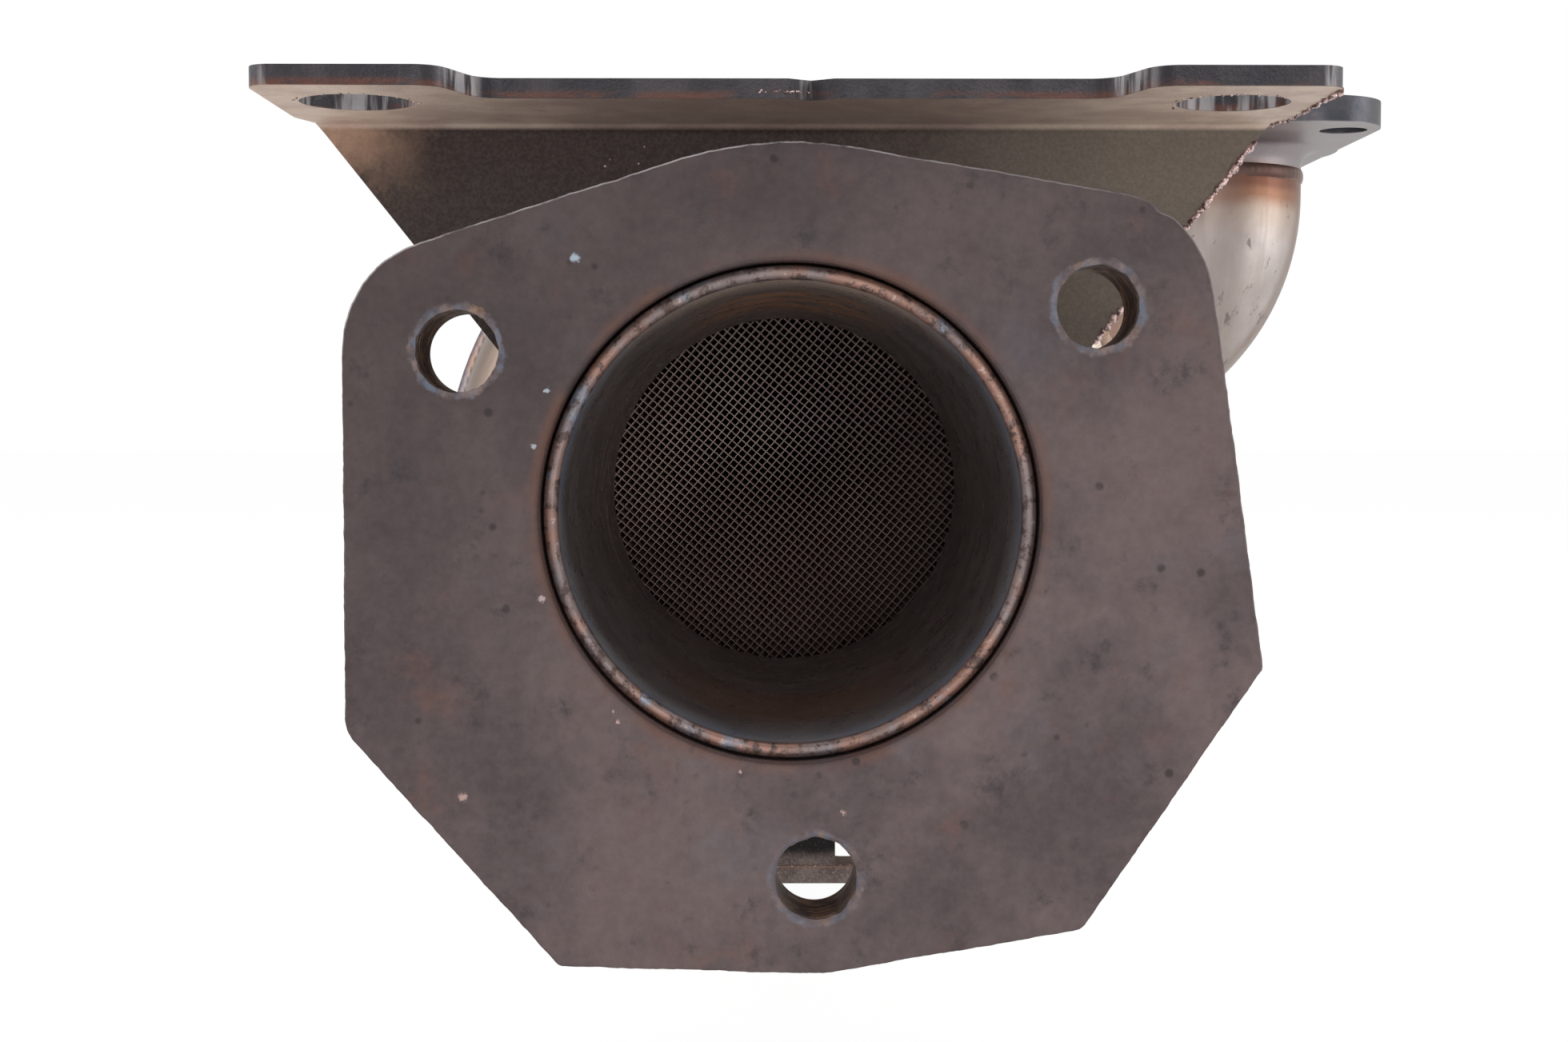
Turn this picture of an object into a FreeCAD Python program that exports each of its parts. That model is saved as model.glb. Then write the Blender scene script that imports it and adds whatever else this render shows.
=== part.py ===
import FreeCAD, Part
import math
import os
from FreeCAD import Placement, Rotation, Vector

# Close-coupled catalytic converter, in millimetres.
# Origin: centre of the outlet flange's mating face. +Y runs upstream along the can's axis,
# +X is to the right seen from the outlet end, and +Z is up.

os.makedirs("parts", exist_ok=True)

# ---- Driving dimensions ----

# outlet pipe
pipe_od = 63.5
pipe_wall = 2.1
pipe_recess = 3.2
pipe_length = 100.3
lip_round = 0.7

# outlet flange; slopes are angles of the sides' normals from the flange's own up
flange_thick = 12.7
bolt_circle = 94.0
bolt_count = 3
bolt_hole = 10.5
hole_rim = 0.8
bore_gap = 0.4
bore_rim = 0.7
flange_turn = 4.0
ear_radius = 14.5
ear_slope = 60.0
top_slope = 13.75
side_slope = 86.3
lower_slope = 128.3
bottom_slope = 174.3
lower_margin = 31.3
bottom_margin = 11.6
sharp_corner = 1.5
blunt_corner = 3.8

# fits and weld beads
slip = 0.1
saddle_gap = 0.3
bead_leg = 5.0
small_leg = 3.4
bead_bulge = 0.16
butt_crown = 0.6
cutter_over = 1.0

# outlet cone, each length counted on from the one before
cone_wall = 1.6
cone_overlap = 17.5
cone_neck_length = 16.0
cone_flare_round = 8.0
cone_flank_length = 24.5
cone_shoulder_round = 12.0
cone_shoulder_land = 6.5
cone_rim_overlap = 9.0

# honeycomb, mat, seals and can
monolith_od = 118.4
monolith_length = 100.0
monolith_inset = 5.7
cell_pitch = 5.2
cell_wall = 0.9
cell_skin = 0.8
cell_turn = 50.0
mat_thick = 2.8
seal_length = 4.0
seal_gap = 0.7
can_wall = 1.5
can_tail = 11.3

# inlet housing and its slanting neck
housing_wall = 1.6
housing_overlap = 6.0
housing_corner = 22.0
housing_land = 4.1
pad_margin = 29.2
pad_step = 2.0
neck_taper = 4.9
neck_sink = 7.2
neck_taper_length = 15.0
neck_sleeve = 11.0
lip_width = 5.5
seam_bead = 1.2

# inlet elbow
elbow_od = 50.8
elbow_wall = 1.8
elbow_bend = 37.6
elbow_rise = 22.0
elbow_straight = 6.1
elbow_stand = 4.8
elbow_plug = 9.0

# inlet flange
inlet_neck_height = 6.7
inlet_neck_wall = 2.0
inlet_flange_thick = 6.0
inlet_fillet = 4.5
inlet_bolt_circle = 101.2
inlet_bolt_hole = 11.0
inlet_ear_slope = 60.0
inlet_hole_margin = 8.2
inlet_front_margin = 18.0
inlet_front_slope = 104.0
inlet_flank_margin = 11.0
inlet_flank_slope = 135.0
inlet_left_margin = 9.5
inlet_corner = 16.0
inlet_left_corner = 8.0
inlet_flank_corner = 20.0

# upper bracket; its lengths are counted forward from the web's face
plate = 3.0
bracket_x = 1.3
bracket_half = 78.6
bracket_top_z = 62.5
bracket_standoff = 9.0
bracket_ear_reach = 41.0
bracket_front_reach = 28.3
bracket_bend = 2.0
ear_width = 27.1
ear_run = 4.5
ear_corner = 3.5
ear_round = 5.0
ear_hole = 17.0
ear_hole_margin = 12.85
ear_hole_reach = 24.1
notch_x = 2.3
notch_half = 3.4
notch_depth = 2.2
web_shoulder = 2.5
web_shoulder_round = 10.0
ear_taper = 1.9
ear_taper_run = 6.0
web_drop = 45.5
web_taper = 38.2
web_bottom_round = 3.0

# lower bracket
foot_top_z = -64.2
foot_setback = 7.0
web_setback = 0.5
foot_pad_left = -36.0
foot_pad_width = 43.5
foot_lip_width = 14.5
foot_lip = 8.5
foot_depth = 28.0
foot_round = 5.0
foot_hole = 11.0
lower_web_left = -26.0
lower_web_cover = 1.1
lower_web_flare = 14.2
lower_web_inset = 8.45
lower_web_round = 8.0
bead_clear = 5.0

# sensor boss, on the housing's end
boss_bore = 16.4
boss_spigot_wall = 1.8
boss_wall = 3.8
boss_height = 8.0
boss_x = -14.0
boss_z = -13.0

# ---- Values worked out from them ----

pipe_r = pipe_od / 2
bolt_r = bolt_circle / 2
monolith_r = monolith_od / 2
can_r = monolith_r + mat_thick + can_wall
cone_neck_r = pipe_r + slip + cone_wall
cone_rim_r = can_r - can_wall - slip
elbow_r = elbow_od / 2
inlet_bolt_r = inlet_bolt_circle / 2
housing_r = can_r + slip + housing_wall
neck_r = elbow_r + slip + housing_wall
neck_root = neck_r + neck_taper

pipe_end_y = pipe_recess + pipe_length
cone_neck_y = pipe_end_y - cone_overlap
cone_flare_y = cone_neck_y + cone_neck_length
cone_shoulder_y = cone_flare_y + cone_flank_length
can_start_y = cone_shoulder_y + cone_shoulder_land
cone_rim_y = can_start_y + cone_rim_overlap
monolith_y = can_start_y + monolith_inset
seal_start_y = cone_rim_y + seal_gap
seal_inset = seal_start_y - monolith_y
mat_length = monolith_length - 2 * (seal_inset + seal_length)
can_end_y = monolith_y + monolith_length + can_tail
housing_start_y = can_end_y - housing_overlap
inlet_y = can_end_y + neck_root
housing_end_y = inlet_y + neck_root + housing_land

neck_root_at = housing_r - neck_sink
neck_straight_at = neck_root_at + neck_taper_length
neck_end_at = neck_straight_at + neck_sleeve
elbow_turn = 90 - elbow_rise
elbow_tangent = elbow_bend * math.tan(math.radians(elbow_turn / 2))
elbow_corner_at = neck_end_at + elbow_straight + elbow_tangent
inlet_x = elbow_corner_at * math.cos(math.radians(elbow_rise))
bend_top_z = elbow_corner_at * math.sin(math.radians(elbow_rise)) + elbow_tangent
elbow_top_z = bend_top_z + elbow_stand
inlet_flange_z = elbow_top_z + inlet_neck_height
inlet_flange_top = inlet_flange_z + inlet_flange_thick

bracket_under_z = bracket_top_z - plate
bracket_web_y = cone_neck_y - bracket_standoff
bracket_back_y = bracket_web_y + plate
web_bottom_z = bracket_under_z - web_drop
foot_front_y = cone_neck_y + foot_setback
foot_step_x = foot_pad_left + foot_pad_width
lower_web_y = foot_front_y + web_setback
lower_web_half = cone_neck_r - lower_web_inset
boss_spigot = boss_bore + 2 * boss_spigot_wall
boss_od = boss_bore + 2 * boss_wall

can_axis = Placement(Vector(), Rotation(Vector(1, 0, 0), -90))
facing = Placement(Vector(), Rotation(Vector(1, 0, 0), 90))
inlet_axis = Placement(Vector(inlet_x, inlet_y, 0), Rotation())
neck_way = Vector(math.cos(math.radians(elbow_rise)), 0, math.sin(math.radians(elbow_rise)))
neck_axis = Placement(Vector(0, inlet_y, 0), Rotation(Vector(0, 0, 1), neck_way))


# ---- Drawing functions ----

def rounded(corners):
    """Closed wire in the XY plane through (x, y, radius) corners, each rounded by its radius."""
    joints = []
    for i, (x, y, radius) in enumerate(corners):
        here = Vector(x, y, 0)
        following = corners[(i + 1) % len(corners)]
        back = (Vector(corners[i - 1][0], corners[i - 1][1], 0) - here).normalize()
        ahead = (Vector(following[0], following[1], 0) - here).normalize()
        half = back.getAngle(ahead) / 2
        reach = radius / math.tan(half)
        middle = (back + ahead) * (1 / (2 * math.cos(half)))
        top = here + middle * (radius / math.sin(half) - radius)
        joints.append((here + back * reach, top, here + ahead * reach, radius))
    edges = []
    for i, (start, top, end, radius) in enumerate(joints):
        if radius > 0:
            edges.append(Part.Arc(start, top, end).toShape())
        next_start = joints[(i + 1) % len(joints)][0]
        if end.distanceToPoint(next_start) > 0.001:
            edges.append(Part.LineSegment(end, next_start).toShape())
    return Part.Wire(edges)


def sheet(path, wall):
    """Corners of a strip of even wall that lies to the left of an open path."""
    ways = []
    for (x0, y0, _), (x1, y1, _) in zip(path, path[1:]):
        ways.append(Vector(x1 - x0, y1 - y0, 0).normalize())
    offset = []
    for i, (x, y, radius) in enumerate(path):
        before = ways[max(i - 1, 0)]
        after = ways[min(i, len(ways) - 1)]
        side = Vector(-before.y - after.y, before.x + after.x, 0) * (wall / (1 + before.dot(after)))
        turn = before.cross(after).z
        inner = radius - math.copysign(wall, turn) if radius > 0 else 0
        offset.append((x + side.x, y + side.y, inner))
    return path + offset[::-1]


def crossing(sides):
    """Corners (x, y, radius) where neighbouring sides meet; a side is (normal angle, distance, radius)."""
    corners = []
    for (a, da, radius), (b, db, _) in zip(sides, sides[1:] + sides[:1]):
        a = math.radians(a)
        b = math.radians(b)
        span = math.sin(b - a)
        x = (da * math.sin(b) - db * math.sin(a)) / span
        y = (db * math.cos(a) - da * math.cos(b)) / span
        corners.append((x, y, radius))
    return corners


def turned(corners, place, angle=360.0, start=0.0):
    """Solid turned about the placement's Z axis from (radius, height, rounding) corners."""
    face = Part.Face(rounded(corners))
    return spun(face, place, angle, start)


def spun(face, place, angle=360.0, start=0.0):
    """Solid swept by a face that is drawn as (radius, height) in the XY plane."""
    face.rotate(Vector(), Vector(1, 0, 0), 90)
    face.rotate(Vector(), Vector(0, 0, 1), start)
    solid = face.revolve(Vector(), Vector(0, 0, 1), angle)
    solid.Placement = place.multiply(solid.Placement)
    return solid


def tube(outer, inner, low, high, place):
    """Plain ring or sleeve between two heights."""
    return turned([(inner, low, 0), (outer, low, 0), (outer, high, 0), (inner, high, 0)], place)


def rod(radius, low, high, place):
    """Plain cylinder between two heights."""
    solid = Part.makeCylinder(radius, high - low, Vector(0, 0, low))
    solid.Placement = place
    return solid


def corner_bead(radius, height, leg_out, leg_along, place, angle=360.0, start=0.0):
    """Weld bead with a convex face, in the corner at (radius, height)."""
    root = Vector(radius, height, 0)
    out = Vector(radius + leg_out, height, 0)
    along = Vector(radius, height + leg_along, 0)
    top = (out + along) * 0.5 + (out + along - root * 2) * bead_bulge
    edges = [Part.LineSegment(along, root).toShape(), Part.LineSegment(root, out).toShape()]
    edges.append(Part.Arc(out, top, along).toShape())
    return spun(Part.Face(Part.Wire(edges)), place, angle, start)


def butt_bead(radius, height, width, crown, place):
    """Weld bead that crowns over a butt joint in a tube."""
    low = Vector(radius, height - width / 2, 0)
    high = Vector(radius, height + width / 2, 0)
    top = Vector(radius + crown, height, 0)
    edges = [Part.LineSegment(high, low).toShape(), Part.Arc(low, top, high).toShape()]
    return spun(Part.Face(Part.Wire(edges)), place)


def upright(corners, front_y, thick):
    """Plate that stands across the can's axis, drawn as (x, z, rounding) corners."""
    solid = Part.Face(rounded(corners)).extrude(Vector(0, 0, -thick))
    solid.translate(Vector(0, 0, -front_y))
    solid.Placement = facing.multiply(solid.Placement)
    return solid


def level(corners, low_z, thick):
    """Plate that lies flat, drawn as (x, y, rounding) corners."""
    solid = Part.Face(rounded(corners)).extrude(Vector(0, 0, thick))
    solid.translate(Vector(0, 0, low_z))
    return solid


def save(shape, node):
    """Write one node's solids."""
    shape.exportStep("parts/" + node + ".step")


# ---- Outlet end ----

def outlet_flange():
    """Thick flame-cut plate: ears round the upper holes, a shallow peak and a blunt foot."""
    top_distance = bolt_r * math.cos(math.radians(ear_slope - top_slope)) + ear_radius
    side_distance = bolt_r * math.cos(math.radians(side_slope - ear_slope)) + ear_radius
    lower_distance = bolt_r * math.cos(math.radians(180 - lower_slope)) + lower_margin
    bottom_distance = bolt_r * math.cos(math.radians(180 - bottom_slope)) + bottom_margin
    up = 90 + flange_turn
    sides = [
        (up - top_slope, top_distance, top_distance),
        (up + top_slope, top_distance, ear_radius),
        (up + side_slope, side_distance, blunt_corner),
        (up + lower_slope, lower_distance, sharp_corner),
        (up + bottom_slope, bottom_distance, sharp_corner),
        (up - bottom_slope, bottom_distance, sharp_corner),
        (up - lower_slope, lower_distance, sharp_corner),
        (up - side_slope, side_distance, ear_radius),
    ]
    body = upright(crossing(sides), 0, flange_thick)
    body = body.cut(turned(rim_profile(pipe_r + bore_gap, bore_rim, flange_thick), can_axis))
    for i in range(bolt_count):
        angle = math.radians(up - 180 + i * 360 / bolt_count)
        centre = Vector(bolt_r * math.cos(angle), 0, bolt_r * math.sin(angle))
        hole = turned(rim_profile(bolt_hole / 2, hole_rim, flange_thick), can_axis)
        hole.translate(centre)
        body = body.cut(hole)
    return body


def rim_profile(radius, rim, depth):
    """Drill for a hole whose front edge is rounded: (radius, height) corners from the face inwards."""
    steps = 3
    corners = [(0, -cutter_over, 0), (radius + rim, -cutter_over, 0), (radius + rim, 0, 0)]
    for i in range(1, steps):
        angle = math.radians(90 * i / steps)
        corners.append((radius + rim * (1 - math.sin(angle)), rim * (1 - math.cos(angle)), 0))
    end = depth + cutter_over
    return corners + [(radius, rim, 0), (radius, end, 0), (0, end, 0)]


def outlet_pipe():
    """Straight tube with a rounded lip just inside the flange."""
    inner = pipe_r - pipe_wall
    corners = [
        (inner, pipe_recess, lip_round),
        (pipe_r, pipe_recess, lip_round),
        (pipe_r, pipe_end_y, 0),
        (inner, pipe_end_y, 0),
    ]
    return turned(corners, can_axis)


def outlet_cone():
    """Pressed cone: sleeve over the pipe, straight flank, and a rim that slides into the can."""
    path = [
        (cone_neck_r, cone_neck_y, 0),
        (cone_neck_r, cone_flare_y, cone_flare_round),
        (cone_rim_r, cone_shoulder_y, cone_shoulder_round),
        (cone_rim_r, cone_rim_y, 0),
    ]
    return turned(sheet(path, cone_wall), can_axis)


# ---- Honeycomb and what holds it ----

def monolith():
    """Ceramic honeycomb: square through-channels on the turned grid, with a closed skin."""
    wires = [Part.Wire(Part.makeCircle(monolith_r))]
    half = (cell_pitch - cell_wall) / 2
    reach = int(monolith_r / cell_pitch) + 1
    for i in range(-reach, reach + 1):
        for j in range(-reach, reach + 1):
            x = i * cell_pitch
            y = j * cell_pitch
            far = math.hypot(abs(x) + half, abs(y) + half)
            if far < monolith_r - cell_skin:
                corners = [(x - half, y - half, 0), (x + half, y - half, 0)]
                corners += [(x + half, y + half, 0), (x - half, y + half, 0)]
                wires.append(rounded(corners))
    face = Part.makeFace(wires, "Part::FaceMakerBullseye")
    body = face.extrude(Vector(0, 0, monolith_length))
    body.rotate(Vector(), Vector(0, 0, 1), -cell_turn)
    body.translate(Vector(0, 0, monolith_y))
    body.Placement = can_axis.multiply(body.Placement)
    return body


def ring_in_can(low, length):
    """Ring that fills the space between honeycomb and can."""
    return tube(can_r - can_wall, monolith_r, low, low + length, can_axis)


# ---- Inlet housing ----

def housing_form(inset):
    """Solid form of the housing, smaller all round by inset, with its slanting neck."""
    end = housing_end_y - inset
    corner = housing_corner - inset
    pad = housing_r - pad_margin - inset
    body = [
        (0, housing_start_y - inset, 0),
        (housing_r - inset, housing_start_y - inset, 0),
        (housing_r - inset, end, corner),
        (pad + pad_step, end, pad_step),
        (pad, end + pad_step, pad_step),
        (0, end + pad_step, 0),
    ]
    neck = [
        (0, 0, 0),
        (neck_root - inset, 0, 0),
        (neck_root - inset, neck_root_at, 0),
        (neck_r - inset, neck_straight_at, 0),
        (neck_r - inset, neck_end_at + inset, 0),
        (0, neck_end_at + inset, 0),
    ]
    return turned(body, can_axis).fuse(turned(neck, neck_axis))


def seam_form(width, half_thick):
    """Flat plate on the seam that follows the housing's outline at the given width."""
    disc = rod(housing_r + width, inlet_y - half_thick, inlet_y + half_thick, can_axis)
    root = neck_root + width
    tip = neck_r + width
    corners = [(0, -root, 0), (neck_root_at, -root, 0), (neck_straight_at, -tip, 0)]
    corners += [(neck_end_at, -tip, 0), (neck_end_at, tip, 0)]
    corners += [(neck_straight_at, tip, 0), (neck_root_at, root, 0), (0, root, 0)]
    arm = level(corners, -half_thick, 2 * half_thick)
    arm.Placement = facing.multiply(arm.Placement)
    arm.rotate(Vector(), Vector(0, 1, 0), -elbow_rise)
    arm.translate(Vector(0, inlet_y, 0))
    return disc.fuse(arm)


def boss_centre():
    """Centre of the sensor boss on the housing's pad, as a placement looking out of the end."""
    place = can_axis.copy()
    place.Base = Vector(boss_x, 0, boss_z)
    return place


def housing_half(rear):
    """One of the two pressings, split in the plane of the neck, with its seam lip."""
    hollow = housing_form(housing_wall)
    shell = housing_form(0).fuse(seam_form(lip_width, housing_wall)).cut(hollow)
    reach = 4 * can_r
    low_y = inlet_y if rear else inlet_y - reach
    block = Part.makeBox(2 * reach, reach, 2 * reach, Vector(-reach, low_y, -reach))
    half = shell.common(block).removeSplitter()
    if rear:
        half = half.cut(rod(boss_spigot / 2, inlet_y, housing_end_y + boss_height, boss_centre()))
    return half


def housing_seam_weld():
    """Edge bead that closes the seam."""
    bead = seam_form(lip_width + seam_bead, seam_bead).cut(seam_form(lip_width, 2 * housing_wall))
    return bead


def sensor_boss():
    """Turned boss with a spigot through the end wall and a bore for the sensor's thread."""
    end = housing_end_y + pad_step
    inside = end - housing_wall
    corners = [
        (boss_bore / 2, inside, 0),
        (boss_spigot / 2, inside, 0),
        (boss_spigot / 2, end, 0),
        (boss_od / 2, end, 0),
        (boss_od / 2, end + boss_height, 1),
        (boss_bore / 2, end + boss_height, 0),
    ]
    return turned(corners, boss_centre())


# ---- Inlet elbow and flange ----

def elbow_form(radius, extra):
    """Solid form of the elbow: slanting end, bend, upright end."""
    slant = rod(radius, neck_end_at - elbow_plug - extra, neck_end_at + elbow_straight, neck_axis)
    stand = rod(radius, bend_top_z, elbow_top_z + extra, inlet_axis)
    ring = Part.Face(Part.Wire(Part.makeCircle(radius, Vector(elbow_bend, 0, 0))))
    bend = ring.revolve(Vector(), Vector(0, 1, 0), elbow_turn)
    bend.translate(Vector(inlet_x - elbow_bend, inlet_y, bend_top_z))
    return slant.fuse(bend).fuse(stand).removeSplitter()


def inlet_elbow():
    """Bent tube from the housing's neck up to the inlet flange."""
    return elbow_form(elbow_r, 0).cut(elbow_form(elbow_r - elbow_wall, cutter_over))


def inlet_flange():
    """Three-hole flange with its short neck in one piece, blended on the underside."""
    hole_side = inlet_bolt_r * math.cos(math.radians(inlet_ear_slope)) + inlet_hole_margin
    front_way = math.radians(inlet_front_slope - inlet_ear_slope)
    front_side = inlet_bolt_r * math.cos(front_way) + inlet_front_margin
    flank_way = math.radians(180 - inlet_flank_slope)
    flank_side = inlet_bolt_r * math.cos(flank_way) + inlet_flank_margin
    left_side = inlet_bolt_r + inlet_left_margin
    sides = [
        (0, hole_side, inlet_corner),
        (inlet_front_slope, front_side, inlet_flank_corner),
        (inlet_flank_slope, flank_side, inlet_left_corner),
        (180, left_side, inlet_left_corner),
        (-inlet_flank_slope, flank_side, inlet_flank_corner),
        (-inlet_front_slope, front_side, inlet_corner),
    ]
    plate_body = level(crossing(sides), inlet_flange_z, inlet_flange_thick)
    plate_body.translate(Vector(inlet_x, inlet_y, 0))
    neck = [
        (0, elbow_top_z, 0),
        (elbow_r, elbow_top_z, 0),
        (elbow_r, inlet_flange_z, inlet_fillet),
        (elbow_r + 2 * inlet_fillet, inlet_flange_z, 0),
        (elbow_r + 2 * inlet_fillet, inlet_flange_z + inlet_flange_thick / 2, 0),
        (0, inlet_flange_z + inlet_flange_thick / 2, 0),
    ]
    body = plate_body.fuse(turned(neck, inlet_axis)).removeSplitter()
    top = inlet_flange_top + cutter_over
    body = body.cut(rod(elbow_r - inlet_neck_wall, elbow_top_z - cutter_over, top, inlet_axis))
    for i in range(bolt_count):
        angle = math.radians(180 + i * 360 / bolt_count)
        hole = rod(inlet_bolt_hole / 2, inlet_flange_z - cutter_over, top, inlet_axis)
        hole.translate(Vector(inlet_bolt_r * math.cos(angle), inlet_bolt_r * math.sin(angle), 0))
        body = body.cut(hole)
    return body


# ---- Brackets ----

def upper_bracket():
    """Plate bent square: two drilled ears in front, and a web that narrows to a saddle on the pipe."""
    bend = bracket_bend + plate
    ear_y = bracket_web_y - bracket_ear_reach
    front_y = bracket_web_y - bracket_front_reach
    ear_inner = bracket_half - ear_width
    bottom_half = bracket_half - web_taper
    shoulder_z = bracket_under_z + web_shoulder
    bend_y = bracket_back_y - bend
    taper_y = bend_y - ear_taper_run
    profile = sheet([(ear_y - cutter_over, bracket_under_z, 0),
                     (bracket_web_y, bracket_under_z, bracket_bend),
                     (bracket_web_y, web_bottom_z - cutter_over, 0)], plate)
    blank = Part.Face(rounded(profile)).extrude(Vector(0, 0, 2 * bracket_half))
    blank.rotate(Vector(), Vector(1, 1, 1), 120)
    blank.translate(Vector(-bracket_half, 0, 0))

    plan = [(ear_taper - bracket_half, bend_y, 0), (-bracket_half, taper_y, ear_round)]
    plan += [(-bracket_half, ear_y, ear_corner)]
    plan += [(-ear_inner, ear_y, ear_round), (ear_run - ear_inner, front_y, ear_round)]
    plan += [(notch_x - notch_half, front_y, 0), (notch_x, front_y + notch_depth, 0)]
    plan += [(notch_x + notch_half, front_y, 0)]
    plan += [(ear_inner - ear_run, front_y, ear_round), (ear_inner, ear_y, ear_round)]
    plan += [(bracket_half, ear_y, ear_corner)]
    plan += [(bracket_half, taper_y, ear_round), (bracket_half - ear_taper, bend_y, 0)]
    above_z = shoulder_z + web_shoulder_round
    web = [(-bracket_half, above_z, 0), (-bracket_half, shoulder_z, web_shoulder_round)]
    web += [(-bottom_half, web_bottom_z, web_bottom_round), (bottom_half, web_bottom_z, web_bottom_round)]
    web += [(bracket_half, shoulder_z, web_shoulder_round), (bracket_half, above_z, 0)]
    outline = level(plan, bracket_top_z - bend, bend).fuse(upright(web, bend_y, bend))
    body = blank.common(outline)
    for side in (-1, 1):
        hole = rod(ear_hole / 2, bracket_under_z - cutter_over, bracket_top_z + cutter_over, Placement())
        hole.translate(Vector(side * (bracket_half - ear_hole_margin), bracket_web_y - ear_hole_reach, 0))
        body = body.cut(hole)
    body.translate(Vector(bracket_x, 0, 0))
    saddle = rod(pipe_r + saddle_gap, bracket_web_y - cutter_over, bracket_back_y + cutter_over, can_axis)
    return body.cut(saddle).removeSplitter()


def upper_bracket_weld():
    """Bead between the web's back and the pipe, along the saddle."""
    sweep = 2 * math.degrees(math.acos(web_bottom_z / pipe_r)) - bead_clear
    return corner_bead(pipe_r, bracket_back_y, small_leg, small_leg / 2, can_axis, sweep, 270 - sweep / 2)


def lower_bracket_foot():
    """Flat foot: a drilled pad on the left and a narrow lip on the right."""
    back_y = foot_front_y + foot_depth
    right = foot_step_x + foot_lip_width
    corners = [
        (foot_pad_left, foot_front_y, foot_round / 2),
        (right, foot_front_y, foot_round / 2),
        (right, foot_front_y + foot_lip, foot_round / 2),
        (foot_step_x, foot_front_y + foot_lip, foot_round / 2),
        (foot_step_x, back_y, foot_round),
        (foot_pad_left, back_y, foot_round),
    ]
    body = level(corners, foot_top_z - plate, plate)
    low = foot_top_z - plate - cutter_over
    hole = rod(foot_hole / 2, low, foot_top_z + cutter_over, Placement())
    hole_y = (lower_web_y + plate + back_y) / 2
    hole.translate(Vector(foot_pad_left + foot_pad_width / 2, hole_y, 0))
    return body.cut(hole)


def lower_bracket_web():
    """Upright plate from the cone's sleeve down to the foot, wider at its saddle."""
    right = foot_step_x + lower_web_cover
    top_z = -math.sqrt(cone_neck_r ** 2 - lower_web_half ** 2)
    corners = [
        (right, foot_top_z, 0),
        (right, foot_top_z + lower_web_flare, lower_web_round),
        (lower_web_half, (foot_top_z + lower_web_flare + top_z) / 2, lower_web_round / 2),
        (lower_web_half, top_z, 0),
        (-lower_web_half, top_z, 0),
        (lower_web_left, foot_top_z, 0),
    ]
    body = upright(corners, lower_web_y, plate)
    saddle = rod(cone_neck_r + saddle_gap, lower_web_y - cutter_over, lower_web_y + plate + cutter_over, can_axis)
    return body.cut(saddle)


def lower_bracket_foot_weld():
    """Straight bead behind the web, on the foot."""
    back = lower_web_y + plate
    corners = [(back, foot_top_z, 0), (back + small_leg, foot_top_z, 0), (back, foot_top_z + small_leg, 0)]
    left = lower_web_left + bead_clear
    body = Part.Face(rounded(corners)).extrude(Vector(0, 0, foot_step_x - bead_clear - left))
    body.rotate(Vector(), Vector(1, 1, 1), 120)
    body.translate(Vector(left, 0, 0))
    return body


def lower_bracket_saddle_weld():
    """Bead between the web's front and the cone's sleeve, along the saddle."""
    sweep = 2 * math.degrees(math.asin(lower_web_half / cone_neck_r)) - bead_clear
    return corner_bead(cone_neck_r, lower_web_y, small_leg, -small_leg, can_axis, sweep, 90 - sweep / 2)


# ---- Write every node ----

save(outlet_flange(), "outlet_flange")
save(outlet_pipe(), "outlet_pipe")
save(corner_bead(pipe_r, flange_thick, bead_leg, bead_leg, can_axis), "outlet_flange_weld")
save(outlet_cone(), "outlet_cone")
save(corner_bead(pipe_r, cone_neck_y, slip + cone_wall, -small_leg, can_axis), "outlet_cone_neck_weld")
save(corner_bead(cone_rim_r, can_start_y, can_wall, -can_wall, can_axis), "outlet_cone_rim_weld")
save(tube(can_r, can_r - can_wall, can_start_y, can_end_y, can_axis), "can_shell")
save(monolith(), "monolith")
save(ring_in_can(seal_start_y, seal_length), "outlet_mat_seal")
save(ring_in_can(seal_start_y + seal_length, mat_length), "support_mat")
save(ring_in_can(seal_start_y + seal_length + mat_length, seal_length), "inlet_mat_seal")
save(housing_half(False), "inlet_housing_front")
save(housing_half(True), "inlet_housing_rear")
save(housing_seam_weld(), "housing_seam_weld")
save(corner_bead(can_r, housing_start_y, housing_wall + slip, -small_leg, can_axis), "housing_rim_weld")
save(sensor_boss(), "sensor_boss")
save(corner_bead(boss_od / 2, housing_end_y + pad_step, small_leg, small_leg, boss_centre()), "sensor_boss_weld")
save(inlet_elbow(), "inlet_elbow")
save(corner_bead(elbow_r, neck_end_at, housing_wall + slip, small_leg, neck_axis), "elbow_neck_weld")
save(inlet_flange(), "inlet_flange")
save(butt_bead(elbow_r, elbow_top_z, small_leg, butt_crown, inlet_axis), "inlet_flange_weld")
save(upper_bracket(), "upper_bracket")
save(upper_bracket_weld(), "upper_bracket_weld")
save(lower_bracket_web(), "lower_bracket_web")
save(lower_bracket_foot(), "lower_bracket_foot")
save(lower_bracket_foot_weld(), "lower_bracket_foot_weld")
save(lower_bracket_saddle_weld(), "lower_bracket_saddle_weld")
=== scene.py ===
import bpy
import math
import random
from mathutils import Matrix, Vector, noise


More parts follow.
